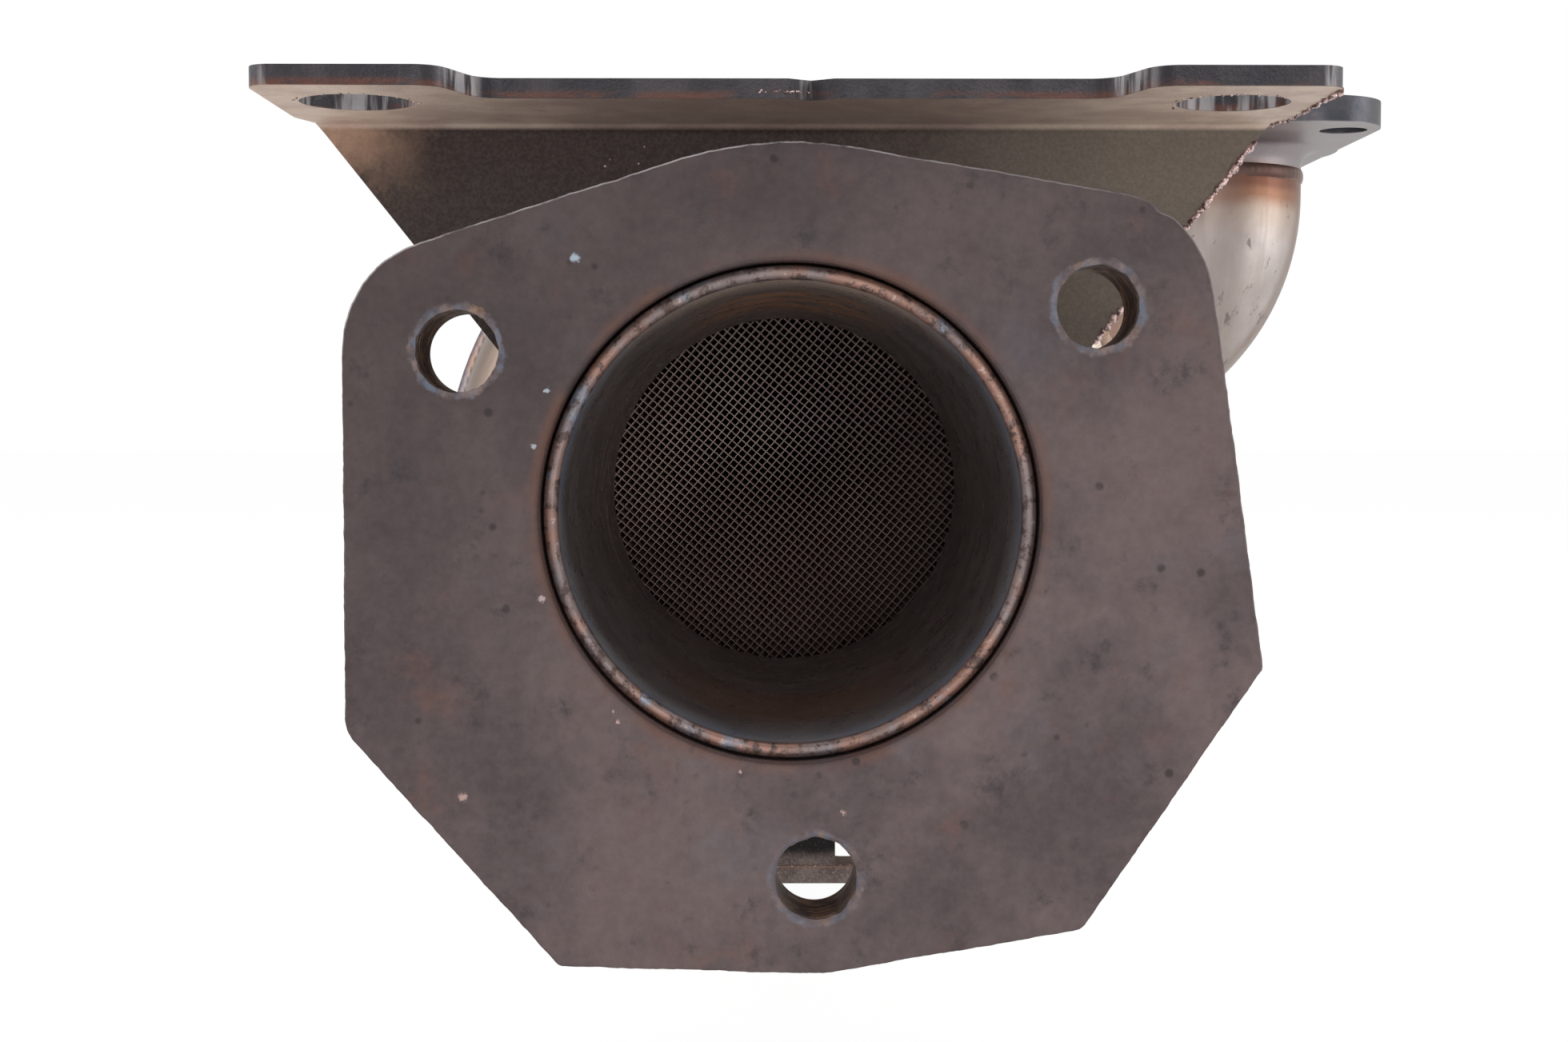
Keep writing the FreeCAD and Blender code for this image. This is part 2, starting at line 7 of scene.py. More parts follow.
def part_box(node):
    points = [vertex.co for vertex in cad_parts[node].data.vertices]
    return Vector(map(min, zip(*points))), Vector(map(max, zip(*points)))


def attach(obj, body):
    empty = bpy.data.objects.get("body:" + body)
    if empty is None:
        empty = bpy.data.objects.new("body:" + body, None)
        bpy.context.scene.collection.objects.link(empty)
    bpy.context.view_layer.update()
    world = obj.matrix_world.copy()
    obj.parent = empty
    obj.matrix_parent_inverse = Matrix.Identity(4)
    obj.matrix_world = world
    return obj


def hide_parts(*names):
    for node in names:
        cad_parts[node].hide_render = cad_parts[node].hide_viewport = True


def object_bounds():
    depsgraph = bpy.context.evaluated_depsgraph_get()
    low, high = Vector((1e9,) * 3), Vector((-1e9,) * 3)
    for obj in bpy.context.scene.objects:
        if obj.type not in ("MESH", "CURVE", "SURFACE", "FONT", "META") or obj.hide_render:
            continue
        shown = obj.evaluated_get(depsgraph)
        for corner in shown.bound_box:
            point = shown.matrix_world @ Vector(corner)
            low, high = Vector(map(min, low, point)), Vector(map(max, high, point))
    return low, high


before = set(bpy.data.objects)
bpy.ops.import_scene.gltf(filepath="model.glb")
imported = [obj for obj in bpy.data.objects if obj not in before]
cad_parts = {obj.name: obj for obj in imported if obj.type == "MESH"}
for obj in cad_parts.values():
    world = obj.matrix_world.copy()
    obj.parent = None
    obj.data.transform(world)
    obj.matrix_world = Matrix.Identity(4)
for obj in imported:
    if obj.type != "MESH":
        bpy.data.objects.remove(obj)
solid_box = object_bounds()

# ---- Studio: camera, daylight, lamps and floor ----
# The converter lies on a white table, its outlet end towards the lens, in even light from all
# sides, with a broad soft box above and one at each hand. Two smaller ones stand in front.

lens = bpy.data.cameras.new("studio_camera")
lens.lens = 50
lens.sensor_width = 36
lens.clip_start = 0.01
studio_camera = bpy.data.objects.new("studio_camera", lens)
studio_camera.location = (-0.00285, -0.2763, 0.01164)
studio_camera.rotation_euler = (math.radians(87.4), 0, math.radians(-0.42))
bpy.context.scene.collection.objects.link(studio_camera)
bpy.context.scene.camera = studio_camera
bpy.context.scene.view_settings.view_transform = "Standard"


def shade(red, green, blue):
    """A colour given in 0 to 255 steps, as the shaders want it."""
    def straight(step):
        part = step / 255
        return part / 12.92 if part <= 0.04045 else ((part + 0.055) / 1.055) ** 2.4
    return (straight(red), straight(green), straight(blue), 1)


def put(kind, wires=None, tree=None, **settings):
    """One shader node with its settings and its inputs, in the tree that its wires come from."""
    wires = wires or {}
    wired = {name for name in wires if isinstance(wires[name], bpy.types.NodeSocket)}
    tree = tree or wires[min(wired)].id_data
    made = tree.nodes.new("ShaderNode" + kind)
    for name, value in settings.items():
        setattr(made, name, value)
    for name, value in wires.items():
        if name in wired:
            tree.links.new(value, made.inputs[name])
        else:
            made.inputs[name].default_value = value
    return made


def seen_straight(tree):
    """1 where the camera sees a thing, straight, in gloss or through glass, and 0 otherwise."""
    rays = put("LightPath", tree=tree)
    seen = put("Math", {0: rays.outputs["Is Camera Ray"], 1: rays.outputs["Is Glossy Ray"]},
               operation="MAXIMUM")
    return put("Math", {0: seen.outputs[0], 1: rays.outputs["Is Transmission Ray"]},
               operation="MAXIMUM").outputs[0]


white = (1, 1, 1, 1)
day = bpy.data.worlds.new("studio_daylight")
day.use_nodes = True
day.node_tree.nodes.clear()
around = put("Background", {"Color": white, "Strength": 0.4}, day.node_tree)
behind = put("Background", {"Color": white, "Strength": 1.0}, day.node_tree)
both = put("MixShader",
           {0: seen_straight(day.node_tree), 1: around.outputs[0], 2: behind.outputs[0]})
put("OutputWorld", {"Surface": both.outputs[0]})
bpy.context.scene.world = day


def soft_box(name, place, aim, width, height, power):
    """A broad area lamp at a place, turned to its aim."""
    lamp = bpy.data.lights.new(name, "AREA")
    lamp.shape = "RECTANGLE"
    lamp.size = width
    lamp.size_y = height
    lamp.energy = power
    holder = bpy.data.objects.new(name, lamp)
    holder.location = place
    holder.rotation_euler = (Vector(aim) - Vector(place)).to_track_quat("-Z", "Y").to_euler()
    bpy.context.scene.collection.objects.link(holder)


soft_box("soft_box_above", (0.0, 0.1, 0.85), (0, 0.1, 0), 0.9, 0.9, 6.0)
soft_box("soft_box_left", (-0.9, 0.0, 0.25), (0, 0.08, 0), 0.5, 0.7, 2.6)
soft_box("soft_box_right", (0.9, 0.05, 0.25), (0, 0.08, 0), 0.5, 0.7, 3.2)
soft_box("soft_box_front", (0.05, -0.8, -0.02), (0, 0.05, 0), 0.4, 0.3, 2.6)
soft_box("soft_box_near", (0.03, -0.22, -0.07), (0, 0, -0.01), 0.12, 0.06, 0.17)

bpy.ops.object.select_all(action="DESELECT")
floor_height = solid_box[0][2] - 0.0002
bpy.ops.mesh.primitive_plane_add(size=12, location=(0, 0, floor_height))
floor = bpy.context.object
floor.name = "white_table"
bpy.ops.object.transform_apply()
table_paper = bpy.data.materials.new("white_table_paper")
table_paper.use_nodes = True
table_paper.node_tree.nodes.clear()
paper = put("BsdfDiffuse", {"Color": (0.8, 0.8, 0.8, 1)}, table_paper.node_tree)
glow = put("Emission", {"Color": white, "Strength": 1.08}, table_paper.node_tree)
share = put("Math", {0: seen_straight(table_paper.node_tree), 1: 0.88}, operation="MULTIPLY")
both = put("MixShader", {0: share.outputs[0], 1: paper.outputs[0], 2: glow.outputs[0]})
put("OutputMaterial", {"Surface": both.outputs[0]})
floor.data.materials.append(table_paper)

# ---- Outlet flange ----
# A thick plate of carbon steel, flame cut to seven sides, with its bore and three bolt holes cut
# through and their rims rounded. It is bare, and the exhaust's heat has oxidised it dark brown.

bpy.ops.object.select_all(action="DESELECT")
flange_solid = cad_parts["outlet_flange"]
flange_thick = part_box("outlet_flange")[1].y
outline_steps = 900
bolt_hole_radius = 0.00525
bolt_circle_radius = 0.047
bore_radius = 0.03215
bpy.ops.mesh.primitive_circle_add(vertices=outline_steps, radius=0.12,
                                  rotation=(math.radians(90), 0, 0))
flange = bpy.context.object
flange.name = "flame_cut_flange"
bpy.ops.object.transform_apply()
torch_slip = Vector((0.047, 0, 0.0385))
slip_depth, slip_wide = 0.0005, 0.0011
low_side_growth = 0.0006
for corner in flange.data.vertices:
    inward = -corner.co.normalized()
    edge = flange_solid.ray_cast(corner.co + Vector((0, flange_thick / 2, 0)), inward)[1]
    edge.y = 0
    lower = min(1, max(0, 0.5 + (edge.x * 0.45 - edge.z) / 0.09))
    drift = 0.00012 * noise.noise(edge * 120) + 0.00008 * noise.noise(edge * 520)
    drift += 0.00006 * noise.noise(edge * 1500) - low_side_growth * lower
    drift += slip_depth * math.exp(-((edge - torch_slip).length / slip_wide) ** 2)
    corner.co = edge + inward * drift
bpy.ops.object.mode_set(mode="EDIT")
bpy.ops.mesh.select_all(action="SELECT")
bpy.ops.mesh.edge_face_add()
bpy.ops.mesh.extrude_region_move(TRANSFORM_OT_translate={"value": (0, flange_thick, 0)})
bpy.ops.object.mode_set(mode="OBJECT")


def face_outward():
    """Turns every face of the active piece outward."""
    bpy.ops.object.mode_set(mode="EDIT")
    bpy.ops.mesh.select_all(action="SELECT")
    bpy.ops.mesh.normals_make_consistent(inside=False)
    bpy.ops.object.mode_set(mode="OBJECT")


def smooth(degrees):
    """Shades the active piece smooth, except at edges sharper than the angle."""
    bpy.ops.object.shade_smooth_by_angle(angle=math.radians(degrees))


def drill(piece, centre, radius, steps):
    """Cuts a round hole through a plate, along the pipe's axis."""
    bpy.ops.mesh.primitive_cylinder_add(vertices=steps, radius=radius, depth=0.08, location=centre,
                                        rotation=(math.radians(90), 0, 0))
    drill_bit = bpy.context.object
    hole = piece.modifiers.new("hole", "BOOLEAN")
    hole.operation = "DIFFERENCE"
    hole.object = drill_bit
    bpy.ops.object.select_all(action="DESELECT")
    bpy.context.view_layer.objects.active = piece
    piece.select_set(True)
    bpy.ops.object.modifier_apply(modifier=hole.name)
    bpy.data.objects.remove(drill_bit)


def soften(piece, belongs, width, steps):
    """Rounds the piece's edges whose two ends both belong."""
    ends = [belongs(corner.co) for corner in piece.data.vertices]
    for face in piece.data.polygons:
        face.select = False
    for corner in piece.data.vertices:
        corner.select = False
    for edge in piece.data.edges:
        edge.select = ends[edge.vertices[0]] and ends[edge.vertices[1]]
    bpy.context.tool_settings.mesh_select_mode = (False, True, False)
    bpy.ops.object.mode_set(mode="EDIT")
    bpy.ops.mesh.bevel(offset=width, segments=steps, profile=0.5, clamp_overlap=True)
    bpy.ops.object.mode_set(mode="OBJECT")


face_outward()
same_level = 0.00002
bolt_centres = []
for turn in (56, 176, 296):
    way = math.radians(turn)
    bolt_centres.append(
        Vector((math.sin(way) * bolt_circle_radius, 0, math.cos(way) * bolt_circle_radius)))
for centre in bolt_centres:
    drill(flange, centre, bolt_hole_radius, 72)
drill(flange, Vector(), bore_radius, 200)


def from_hole(point, centre):
    """How far a point is from a hole's axis."""
    return math.hypot(point.x - centre.x, point.z - centre.z)


def round_a_hole(point, centre, radius, height):
    """True where the point is on a hole's circle at a height in the plate."""
    return abs(from_hole(point, centre) - radius) < 0.0001 and abs(point.y - height) < same_level


def on_outline(point, height):
    """True where the point is on the plate's outer edge at a height in the plate."""
    return (abs(point.y - height) < same_level and from_hole(point, Vector()) > 0.037
            and min(from_hole(point, centre) for centre in bolt_centres) > 0.008)


for centre in bolt_centres:
    soften(flange, lambda point: round_a_hole(point, centre, bolt_hole_radius, 0), 0.001, 5)
    soften(flange, lambda point: round_a_hole(point, centre, bolt_hole_radius, flange_thick),
           0.0004, 2)
soften(flange, lambda point: round_a_hole(point, Vector(), bore_radius, 0), 0.0007, 4)
soften(flange, lambda point: round_a_hole(point, Vector(), bore_radius, flange_thick), 0.0004, 2)
soften(flange, lambda point: on_outline(point, 0), 0.00032, 3)
soften(flange, lambda point: on_outline(point, flange_thick), 0.0003, 2)
for corner in flange.data.vertices:
    for centre in bolt_centres:
        off = Vector((corner.co.x - centre.x, 0, corner.co.z - centre.z))
        if off.length < 0.0066 and corner.co.y < 0.0016:
            rough = 0.00016 * noise.noise(corner.co * 700) + 0.0001 * noise.noise(corner.co * 2200)
            corner.co += off.normalized() * rough
            if corner.co.y > 0.00001:
                corner.co.y = max(0, corner.co.y + 0.5 * rough)
smooth(35)
flat = flange.modifiers.new("flat_faces", "WEIGHTED_NORMAL")
flat.keep_sharp = True
bpy.ops.object.modifier_apply(modifier=flat.name)


def steel(name, metallic, roughness):
    """A metal finish, its shader and the place that its patterns follow."""
    finish = bpy.data.materials.new(name)
    finish.use_nodes = True
    finish.node_tree.nodes.clear()
    shader = put("BsdfPrincipled", {"Metallic": metallic, "Roughness": roughness}, finish.node_tree)
    put("OutputMaterial", {"Surface": shader.outputs[0]})
    return finish, shader, put("TexCoord", tree=finish.node_tree).outputs["Object"]


def wire(shader, socket, value):
    """Wires a value to one of the shader's sockets."""
    value.id_data.links.new(value, shader.inputs[socket])


def axes(place):
    """A place or a direction as three values: to the right, back along the can, and up."""
    return tuple(put("SeparateXYZ", {0: place}).outputs)


def distance(place, spot):
    """How far a place is from a spot."""
    return put("VectorMath", {0: place, 1: tuple(spot)}, operation="DISTANCE").outputs["Value"]


def radius_of(flat_place):
    """How far a place is from the can's axis."""
    return put("VectorMath", {0: flat_place}, operation="LENGTH").outputs["Value"]


def cloud(place, size, detail=4, rough=0.6, stretch=(1, 1, 1), shift=(0, 0, 0)):
    """Soft patches of about the given size in metres."""
    scale = tuple(1 / (size * part) for part in stretch)
    laid = put("Mapping", {"Vector": place, "Scale": scale, "Location": shift}).outputs[0]
    grain = {"Vector": laid, "Scale": 1, "Detail": detail, "Roughness": rough}
    return put("TexNoise", grain).outputs[0]


def cells(place, count, **settings):
    """Distances in a pattern of irregular cells, about so many to the metre."""
    laid = put("Mapping", {"Vector": place, "Scale": (count, count, count)}).outputs[0]
    return put("TexVoronoi", {"Vector": laid, "Scale": 1.0}, **settings).outputs["Distance"]


def band(value, low, high):
    """Rises smoothly from 0 at low to 1 at high, or falls where high is the lower."""
    falls = low > high
    span = {1: high, 2: low, 3: 1.0, 4: 0.0} if falls else {1: low, 2: high}
    return put("MapRange", {0: value, **span}, interpolation_type="SMOOTHSTEP").outputs[0]


def spread(value, low, high, first, last):
    """Evenly from first to last while the value goes from low to high."""
    return put("MapRange", {0: value, 1: low, 2: high, 3: first, 4: last}).outputs[0]


def maths(kind, first, second=0.5):
    """One sum on two values."""
    return put("Math", {0: first, 1: second}, operation=kind).outputs[0]


def times(first, second):
    """One value times another."""
    return maths("MULTIPLY", first, second)


def tint(share, first, second):
    """The first colour, going over to the second by the share."""
    return put("Mix", {0: share, 6: first, 7: second}, data_type="RGBA").outputs[2]


def cover(colour, hue, share, most):
    """The colour with a hue laid over it by the share, times the most that it may hide."""
    return tint(times(share, most), colour, hue)


def emboss(shader, height, depth, before=None):
    """Raises the surface by the height, and gives the bump so that a finer one can follow."""
    wires = {"Height": height, "Distance": depth, "Strength": 1.0}
    if before is not None:
        wires["Normal"] = before
    bump = put("Bump", wires).outputs[0]
    wire(shader, "Normal", bump)
    return bump


scale_steel, shader, place = steel("oxidised_flame_cut_steel", 0.12, 0.6)
shader.inputs["Specular IOR Level"].default_value = 0.3
wide = band(cloud(place, 0.03, 5, 0.62), 0.36, 0.64)
colour = tint(wide, shade(73, 61, 62), shade(99, 84, 83))
spots = band(cloud(place, 0.0075, 7, 0.72, shift=(3, 1, 2)), 0.54, 0.7)
colour = cover(colour, shade(53, 47, 50), spots, 0.9)
warm = band(cloud(place, 0.013, 6, 0.7, shift=(7, 2, 5)), 0.55, 0.72)
colour = cover(colour, shade(102, 73, 65), warm, 0.62)
cool = band(cloud(place, 0.018, 5, 0.65, shift=(1, 9, 4)), 0.56, 0.72)
colour = cover(colour, shade(83, 81, 89), cool, 0.4)
grit = cloud(place, 0.0017, 3, 0.7)
colour = tint(band(grit, 0.3, 0.72), tint(0.12, colour, shade(32, 28, 28)),
              tint(0.03, colour, shade(176, 162, 157)))
across, depth, height = axes(place)
# Darker towards the upper left of the face: painted shade, standing in for the light falling off
# across the plate.
painted_shade_upper_left = maths("SUBTRACT", height, times(across, 0.6))
painted_shade_upper_left = maths("ADD", painted_shade_upper_left, times(wide, 0.02))
colour = cover(colour, shade(30, 24, 25), band(painted_shade_upper_left, -0.03, 0.085), 0.46)
flat_place = put("CombineXYZ", {0: across, 2: height}).outputs[0]
nearest = None
for centre in bolt_centres:
    off = distance(flat_place, centre)
    nearest = off if nearest is None else maths("MINIMUM", nearest, off)
rim_noise = cloud(place, 0.0022, 4, 0.7)
ragged = maths("ADD", nearest, times(maths("SUBTRACT", rim_noise, 0.5), 0.0022))
rim = times(band(ragged, 0.0064, 0.0058), band(depth, 0.0016, 0.0006))
rim = times(rim, spread(cloud(place, 0.0026, 4, 0.7, shift=(8, 8, 3)), 0.38, 0.6, 0.25, 1.5))
rim_hue = tint(band(cloud(place, 0.0034, 4, 0.7, shift=(4, 4, 1)), 0.4, 0.6),
               shade(123, 106, 102), shade(95, 102, 116))
straw = band(cloud(place, 0.0048, 3, 0.6, shift=(2, 6, 8)), 0.56, 0.66)
rim_hue = cover(rim_hue, shade(148, 113, 81), straw, 0.7)
colour = cover(colour, rim_hue, rim, 0.62)
inside_hole = times(band(nearest, 0.006, 0.0055), band(depth, 0.0006, 0.0016))
hole_hue = tint(band(cloud(place, 0.003, 4, 0.7, stretch=(1, 0.5, 1)), 0.42, 0.62),
                shade(64, 51, 48), shade(134, 102, 84))
colour = cover(colour, hole_hue, inside_hole, 0.9)
from_axis = radius_of(flat_place)
bore_edge = times(band(from_axis, 0.0341, 0.0326), band(cloud(place, 0.011, 4, 0.6), 0.38, 0.62))
colour = cover(colour, shade(99, 67, 55), bore_edge, 0.6)
_, facing_back, facing_up = axes(place.node.outputs["Normal"])
# A pale line along the rounded outer edge where it turns upward, stronger to the left: a painted
# highlight.
painted_edge_highlight = times(band(maths("ABSOLUTE", facing_back), 0.985, 0.93), band(depth, 0.0006, 0.0003))
painted_edge_highlight = times(painted_edge_highlight, band(facing_up, -0.05, 0.15))
clear_of_holes = times(band(nearest, 0.007, 0.009), band(from_axis, 0.036, 0.038))
painted_edge_highlight = times(painted_edge_highlight, clear_of_holes)
painted_edge_highlight = times(painted_edge_highlight, band(cloud(place, 0.009, 5, 0.7, shift=(6, 3, 3)), 0.36, 0.58))
painted_edge_highlight = times(painted_edge_highlight, spread(across, -0.01, 0.03, 0.75, 0.25))
colour = tint(painted_edge_highlight, colour, shade(164, 157, 157))
marks = None
for right, up, size in ((-30.8, 15.6, 0.5), (-32.6, 8.5, 0.4), (-30.9, -1.8, 0.35),
                        (-31.6, -10.8, 0.6), (-12.0, 28.2, 0.4), (-10.7, 28.7, 0.4),
                        (-20.0, 24.6, 0.4), (-22.0, -26.6, 0.4), (6.8, -38.2, 0.5),
                        (-27.2, 32.4, 0.9), (-41.8, -36.2, 0.8), (-22.6, -25.4, 0.3),
                        (-6.4, -33.0, 0.3)):
    crumbled = maths("SUBTRACT", cloud(place, 0.0007, 3, 0.8, shift=(1, 1, 7)), 0.5)
    off = maths("ADD", distance(flat_place, (right / 1000, 0, up / 1000)), times(crumbled, 0.0016))
    off = maths("DIVIDE", off, size / 1000)
    marks = off if marks is None else maths("MINIMUM", marks, off)
speck = times(band(marks, 0.85, 0.35), band(depth, 0.001, 0.0002))
speck_hue = tint(band(height, 0.026, -0.03), shade(171, 185, 197), shade(187, 157, 150))
colour = cover(colour, speck_hue, speck, 0.75)
pit_patches = band(cloud(place, 0.011, 4, 0.6, shift=(9, 2, 2)), 0.5, 0.6)
pitted = times(band(cells(place, 260), 0.2, 0.09), pit_patches)
colour = cover(colour, shade(32, 25, 25), pitted, 0.7)
wire(shader, "Base Color", colour)
dull = cloud(place, 0.006, 5, 0.7, shift=(5, 5, 5))
wire(shader, "Roughness", spread(dull, 0.3, 0.7, 0.56, 0.74))
rolled = emboss(shader, cloud(place, 0.0035, 5, 0.6), 0.00008)
on_cut = band(maths("ABSOLUTE", facing_back), 0.6, 0.3)
drag = times(cloud(place, 0.0011, 3, 0.6, stretch=(1, 14, 1)), on_cut)
ridges = times(inside_hole, maths("SINE", times(depth, 2 * math.pi / 0.0016)))
cut_lines = emboss(shader, ridges, 0.0002, emboss(shader, drag, 0.0006, rolled))
emboss(shader, grit, 0.00002, cut_lines)
flange.data.materials.clear()
flange.data.materials.append(scale_steel)
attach(flange, "root")
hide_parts("outlet_flange")

# ---- Outlet pipe ----
# Drawn steel tube that stops just inside the flange's bore, its lip rounded and left rosy and
# straw by the weld behind it. The gas has burnt its inside dark and glossy.

pipe_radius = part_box("outlet_pipe")[1].x
pipe_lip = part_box("outlet_pipe")[0].y
pipe_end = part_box("outlet_pipe")[1].y
pipe_steps = 180
pipe_wall = 0.0021
mouth_flare = 0.00025
lip_round = 0.0007
pipe_inside = pipe_radius - pipe_wall
pipe_section = []
for step in range(5):
    bend = math.pi / 2 * step / 4
    pipe_section.append((pipe_radius - lip_round * (1 - math.cos(bend)),
                         pipe_lip + lip_round * (1 - math.sin(bend))))
for step in range(5):
    bend = math.pi / 2 * step / 4
    pipe_section.append((pipe_inside + mouth_flare + lip_round * (1 - math.sin(bend)),
                         pipe_lip + lip_round * (1 - math.cos(bend))))
for step in range(1, 17):
    depth = lip_round + 0.015 * step / 16
    ease = min(1, max(0, (depth - 0.0015) / 0.012))
    ease = ease * ease * (3 - 2 * ease)
    pipe_section.append((pipe_inside + mouth_flare * (1 - ease), pipe_lip + depth))
flare_end = pipe_section[-1][1]
for step in range(1, 13):
    pipe_section.append((pipe_inside, flare_end + step / 12 * (pipe_end - flare_end)))
for step in range(12):
    pipe_section.append((pipe_radius, pipe_end - step / 12 * (pipe_end - pipe_lip - lip_round)))
bpy.ops.object.select_all(action="DESELECT")
bpy.ops.mesh.primitive_torus_add(major_segments=pipe_steps, minor_segments=len(pipe_section),
                                 major_radius=0.03, minor_radius=0.001)
pipe = bpy.context.object
pipe.name = "drawn_outlet_pipe"
for corner in pipe.data.vertices:
    step, index = divmod(corner.index, len(pipe_section))
    turn = 2 * math.pi * step / pipe_steps
    reach, height = pipe_section[index]
    way = Vector((math.cos(turn), 0, math.sin(turn)))
    if height < pipe_lip + 0.03 and reach < pipe_radius - 0.0001:
        reach += 0.00005 * noise.noise(way * 4 + Vector((0, height * 60, 0)))
    corner.co = way * reach + Vector((0, height, 0))
face_outward()
smooth(40)
burnt_pipe, shader, place = steel("heat_stained_pipe", 0.75, 0.26)
across, along, height = axes(place)
from_axis = radius_of(put("CombineXYZ", {0: across, 2: height}).outputs[0])
stain = cloud(place, 0.012, 5, 0.62)
colour = tint(band(stain, 0.35, 0.65), shade(132, 126, 125), shade(160, 155, 156))
mouth = band(along, 0.015, 0.003)
mouth_hue = tint(band(cloud(place, 0.016, 3, 0.5, shift=(2, 3, 1)), 0.42, 0.6),
                 shade(158, 158, 164), shade(124, 140, 164))
colour = cover(colour, mouth_hue, mouth, 0.8)
straw_top = times(band(height, 0.024, 0.029),
                  times(band(along, 0.016, 0.03), band(along, 0.086, 0.06)))
straw_patches = band(cloud(place, 0.007, 4, 0.6), 0.34, 0.6)
colour = cover(colour, shade(234, 178, 138), straw_top, straw_patches)
pale_top = times(band(height, 0.018, 0.029), band(along, 0.026, 0.01))
colour = cover(colour, shade(214, 190, 174), pale_top, 0.85)
straw_low = times(band(height, -0.022, -0.029),
                  times(band(along, 0.016, 0.028), band(along, 0.06, 0.044)))
colour = cover(colour, shade(184, 132, 100), straw_low, 0.5)
lip = band(along, pipe_lip + 0.0022, pipe_lip + 0.0004)
rosy = tint(band(cloud(place, 0.008, 4, 0.6, shift=(6, 1, 3)), 0.4, 0.6),
            shade(100, 88, 87), shade(124, 92, 80))
bluish = band(cloud(place, 0.006, 4, 0.6, shift=(1, 8, 3)), 0.56, 0.68)
rosy = tint(bluish, rosy, shade(106, 110, 120))
scabs = cloud(place, 0.0018, 5, 0.75, shift=(2, 2, 2))
rosy = tint(band(scabs, 0.5, 0.4), rosy, shade(64, 48, 44))
rosy = cover(rosy, shade(178, 160, 154), band(scabs, 0.6, 0.68), 0.5)
colour = tint(lip, colour, rosy)
outside = band(from_axis, pipe_radius - 0.0004, pipe_radius - 0.0001)
outer_hue = tint(band(cloud(place, 0.02, 6, 0.62, shift=(3, 3, 9)), 0.38, 0.62),
                 shade(124, 109, 98), shade(142, 127, 115))
colour = cover(colour, outer_hue, outside, band(along, 0.005, 0.008))
wire(shader, "Base Color", colour)
drawn = cloud(place, 0.0012, 3, 0.5, stretch=(1, 12, 1))
gloss = spread(cloud(place, 0.005, 4, 0.6), 0.3, 0.7, 0.24, 0.36)
wire(shader, "Roughness", maths("ADD", gloss, times(lip, 0.16)))
wire(shader, "Metallic", spread(maths("MAXIMUM", lip, mouth), 0, 1, 0.75, 0.45))
emboss(shader, drawn, 0.000003, emboss(shader, cloud(place, 0.012, 2, 0.5), 0.0002))
pipe.data.materials.append(burnt_pipe)
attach(pipe, "root")
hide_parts("outlet_pipe")

# ---- Honeycomb ----
# A block of brown cordierite, extruded with 62 square cells to the square centimetre and fired,
# with a closed skin, its cell walls coated with a tan wash that the gas has sooted.

bpy.ops.object.select_all(action="DESELECT")
brick_low, brick_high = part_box("monolith")
cell_step = 0.00127
cell_wall = 0.00021
brick_skin = 0.0007
brick_radius = brick_high.x - 0.0006
brick_long = brick_high.y - brick_low.y
brick_middle = (brick_high.y + brick_low.y) / 2
bpy.ops.mesh.primitive_cylinder_add(vertices=120, radius=brick_high.x - 0.00002, depth=brick_long,
                                    end_fill_type="NOTHING", location=(0, brick_middle, 0),
                                    rotation=(math.radians(90), 0, 0))
honeycomb = bpy.context.object
honeycomb.name = "honeycomb_block"
bpy.ops.object.transform_apply()
skin = honeycomb.modifiers.new("skin", "SOLIDIFY")
skin.thickness = brick_skin
skin.offset = -1
bpy.ops.object.modifier_apply(modifier=skin.name)
bpy.ops.object.mode_set(mode="EDIT")
rows = int(brick_radius / cell_step)
for turn, set_back in ((40, 0), (130, 0.00002)):
    across = Vector((math.cos(math.radians(turn)), 0, -math.sin(math.radians(turn))))
    for row in range(-rows, rows + 1):
        off = row * cell_step
        reach = 2 * math.sqrt(max(brick_radius ** 2 - off ** 2, 0.000004))
        bpy.ops.mesh.primitive_cube_add(
            size=1, location=across * off + Vector((0, brick_middle + set_back / 2, 0)),
            rotation=(0, math.radians(turn), 0), scale=(cell_wall, brick_long - set_back, reach))
bpy.ops.object.mode_set(mode="OBJECT")
cordierite, shader, place = steel("fired_cordierite", 0.0, 0.85)
wash = band(cloud(place, 0.024, 4, 0.6), 0.36, 0.64)
colour = tint(wash, shade(170, 150, 143), shade(190, 170, 162))
soot = band(cloud(place, 0.016, 4, 0.6, shift=(3, 2, 6)), 0.52, 0.68)
colour = cover(colour, shade(122, 100, 92), soot, 0.3)
across, _, height = axes(place)
# Darker towards the lower right of the block: painted shade.
painted_shade_lower_right = maths("SUBTRACT", height, times(across, 0.5))
colour = cover(colour, shade(118, 100, 95), band(painted_shade_lower_right, 0.02, -0.004), 0.7)
facing_back = axes(place.node.outputs["Normal"])[1]
wall_ends = band(maths("ABSOLUTE", facing_back), 0.5, 0.9)
colour = tint(wall_ends, shade(200, 168, 154), colour)
wire(shader, "Base Color", colour)
honeycomb.data.materials.append(cordierite)
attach(honeycomb, "root")
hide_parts("monolith")

# ---- Outlet cone, can, mat and seals ----
# Stainless sheet: a pressed cone and a rolled can that grip the honeycomb through a fibre mat,
# held at each end by a ring of knitted wire. The heat has browned the cone and dulled the can.


def fade_from(value, middle, slope):
    """1 at the middle, falling evenly to 0 on both sides of it."""
    gap = maths("ABSOLUTE", maths("SUBTRACT", value, middle))
    return maths("SUBTRACT", 1.0, maths("MINIMUM", 1.0, times(slope, gap)))


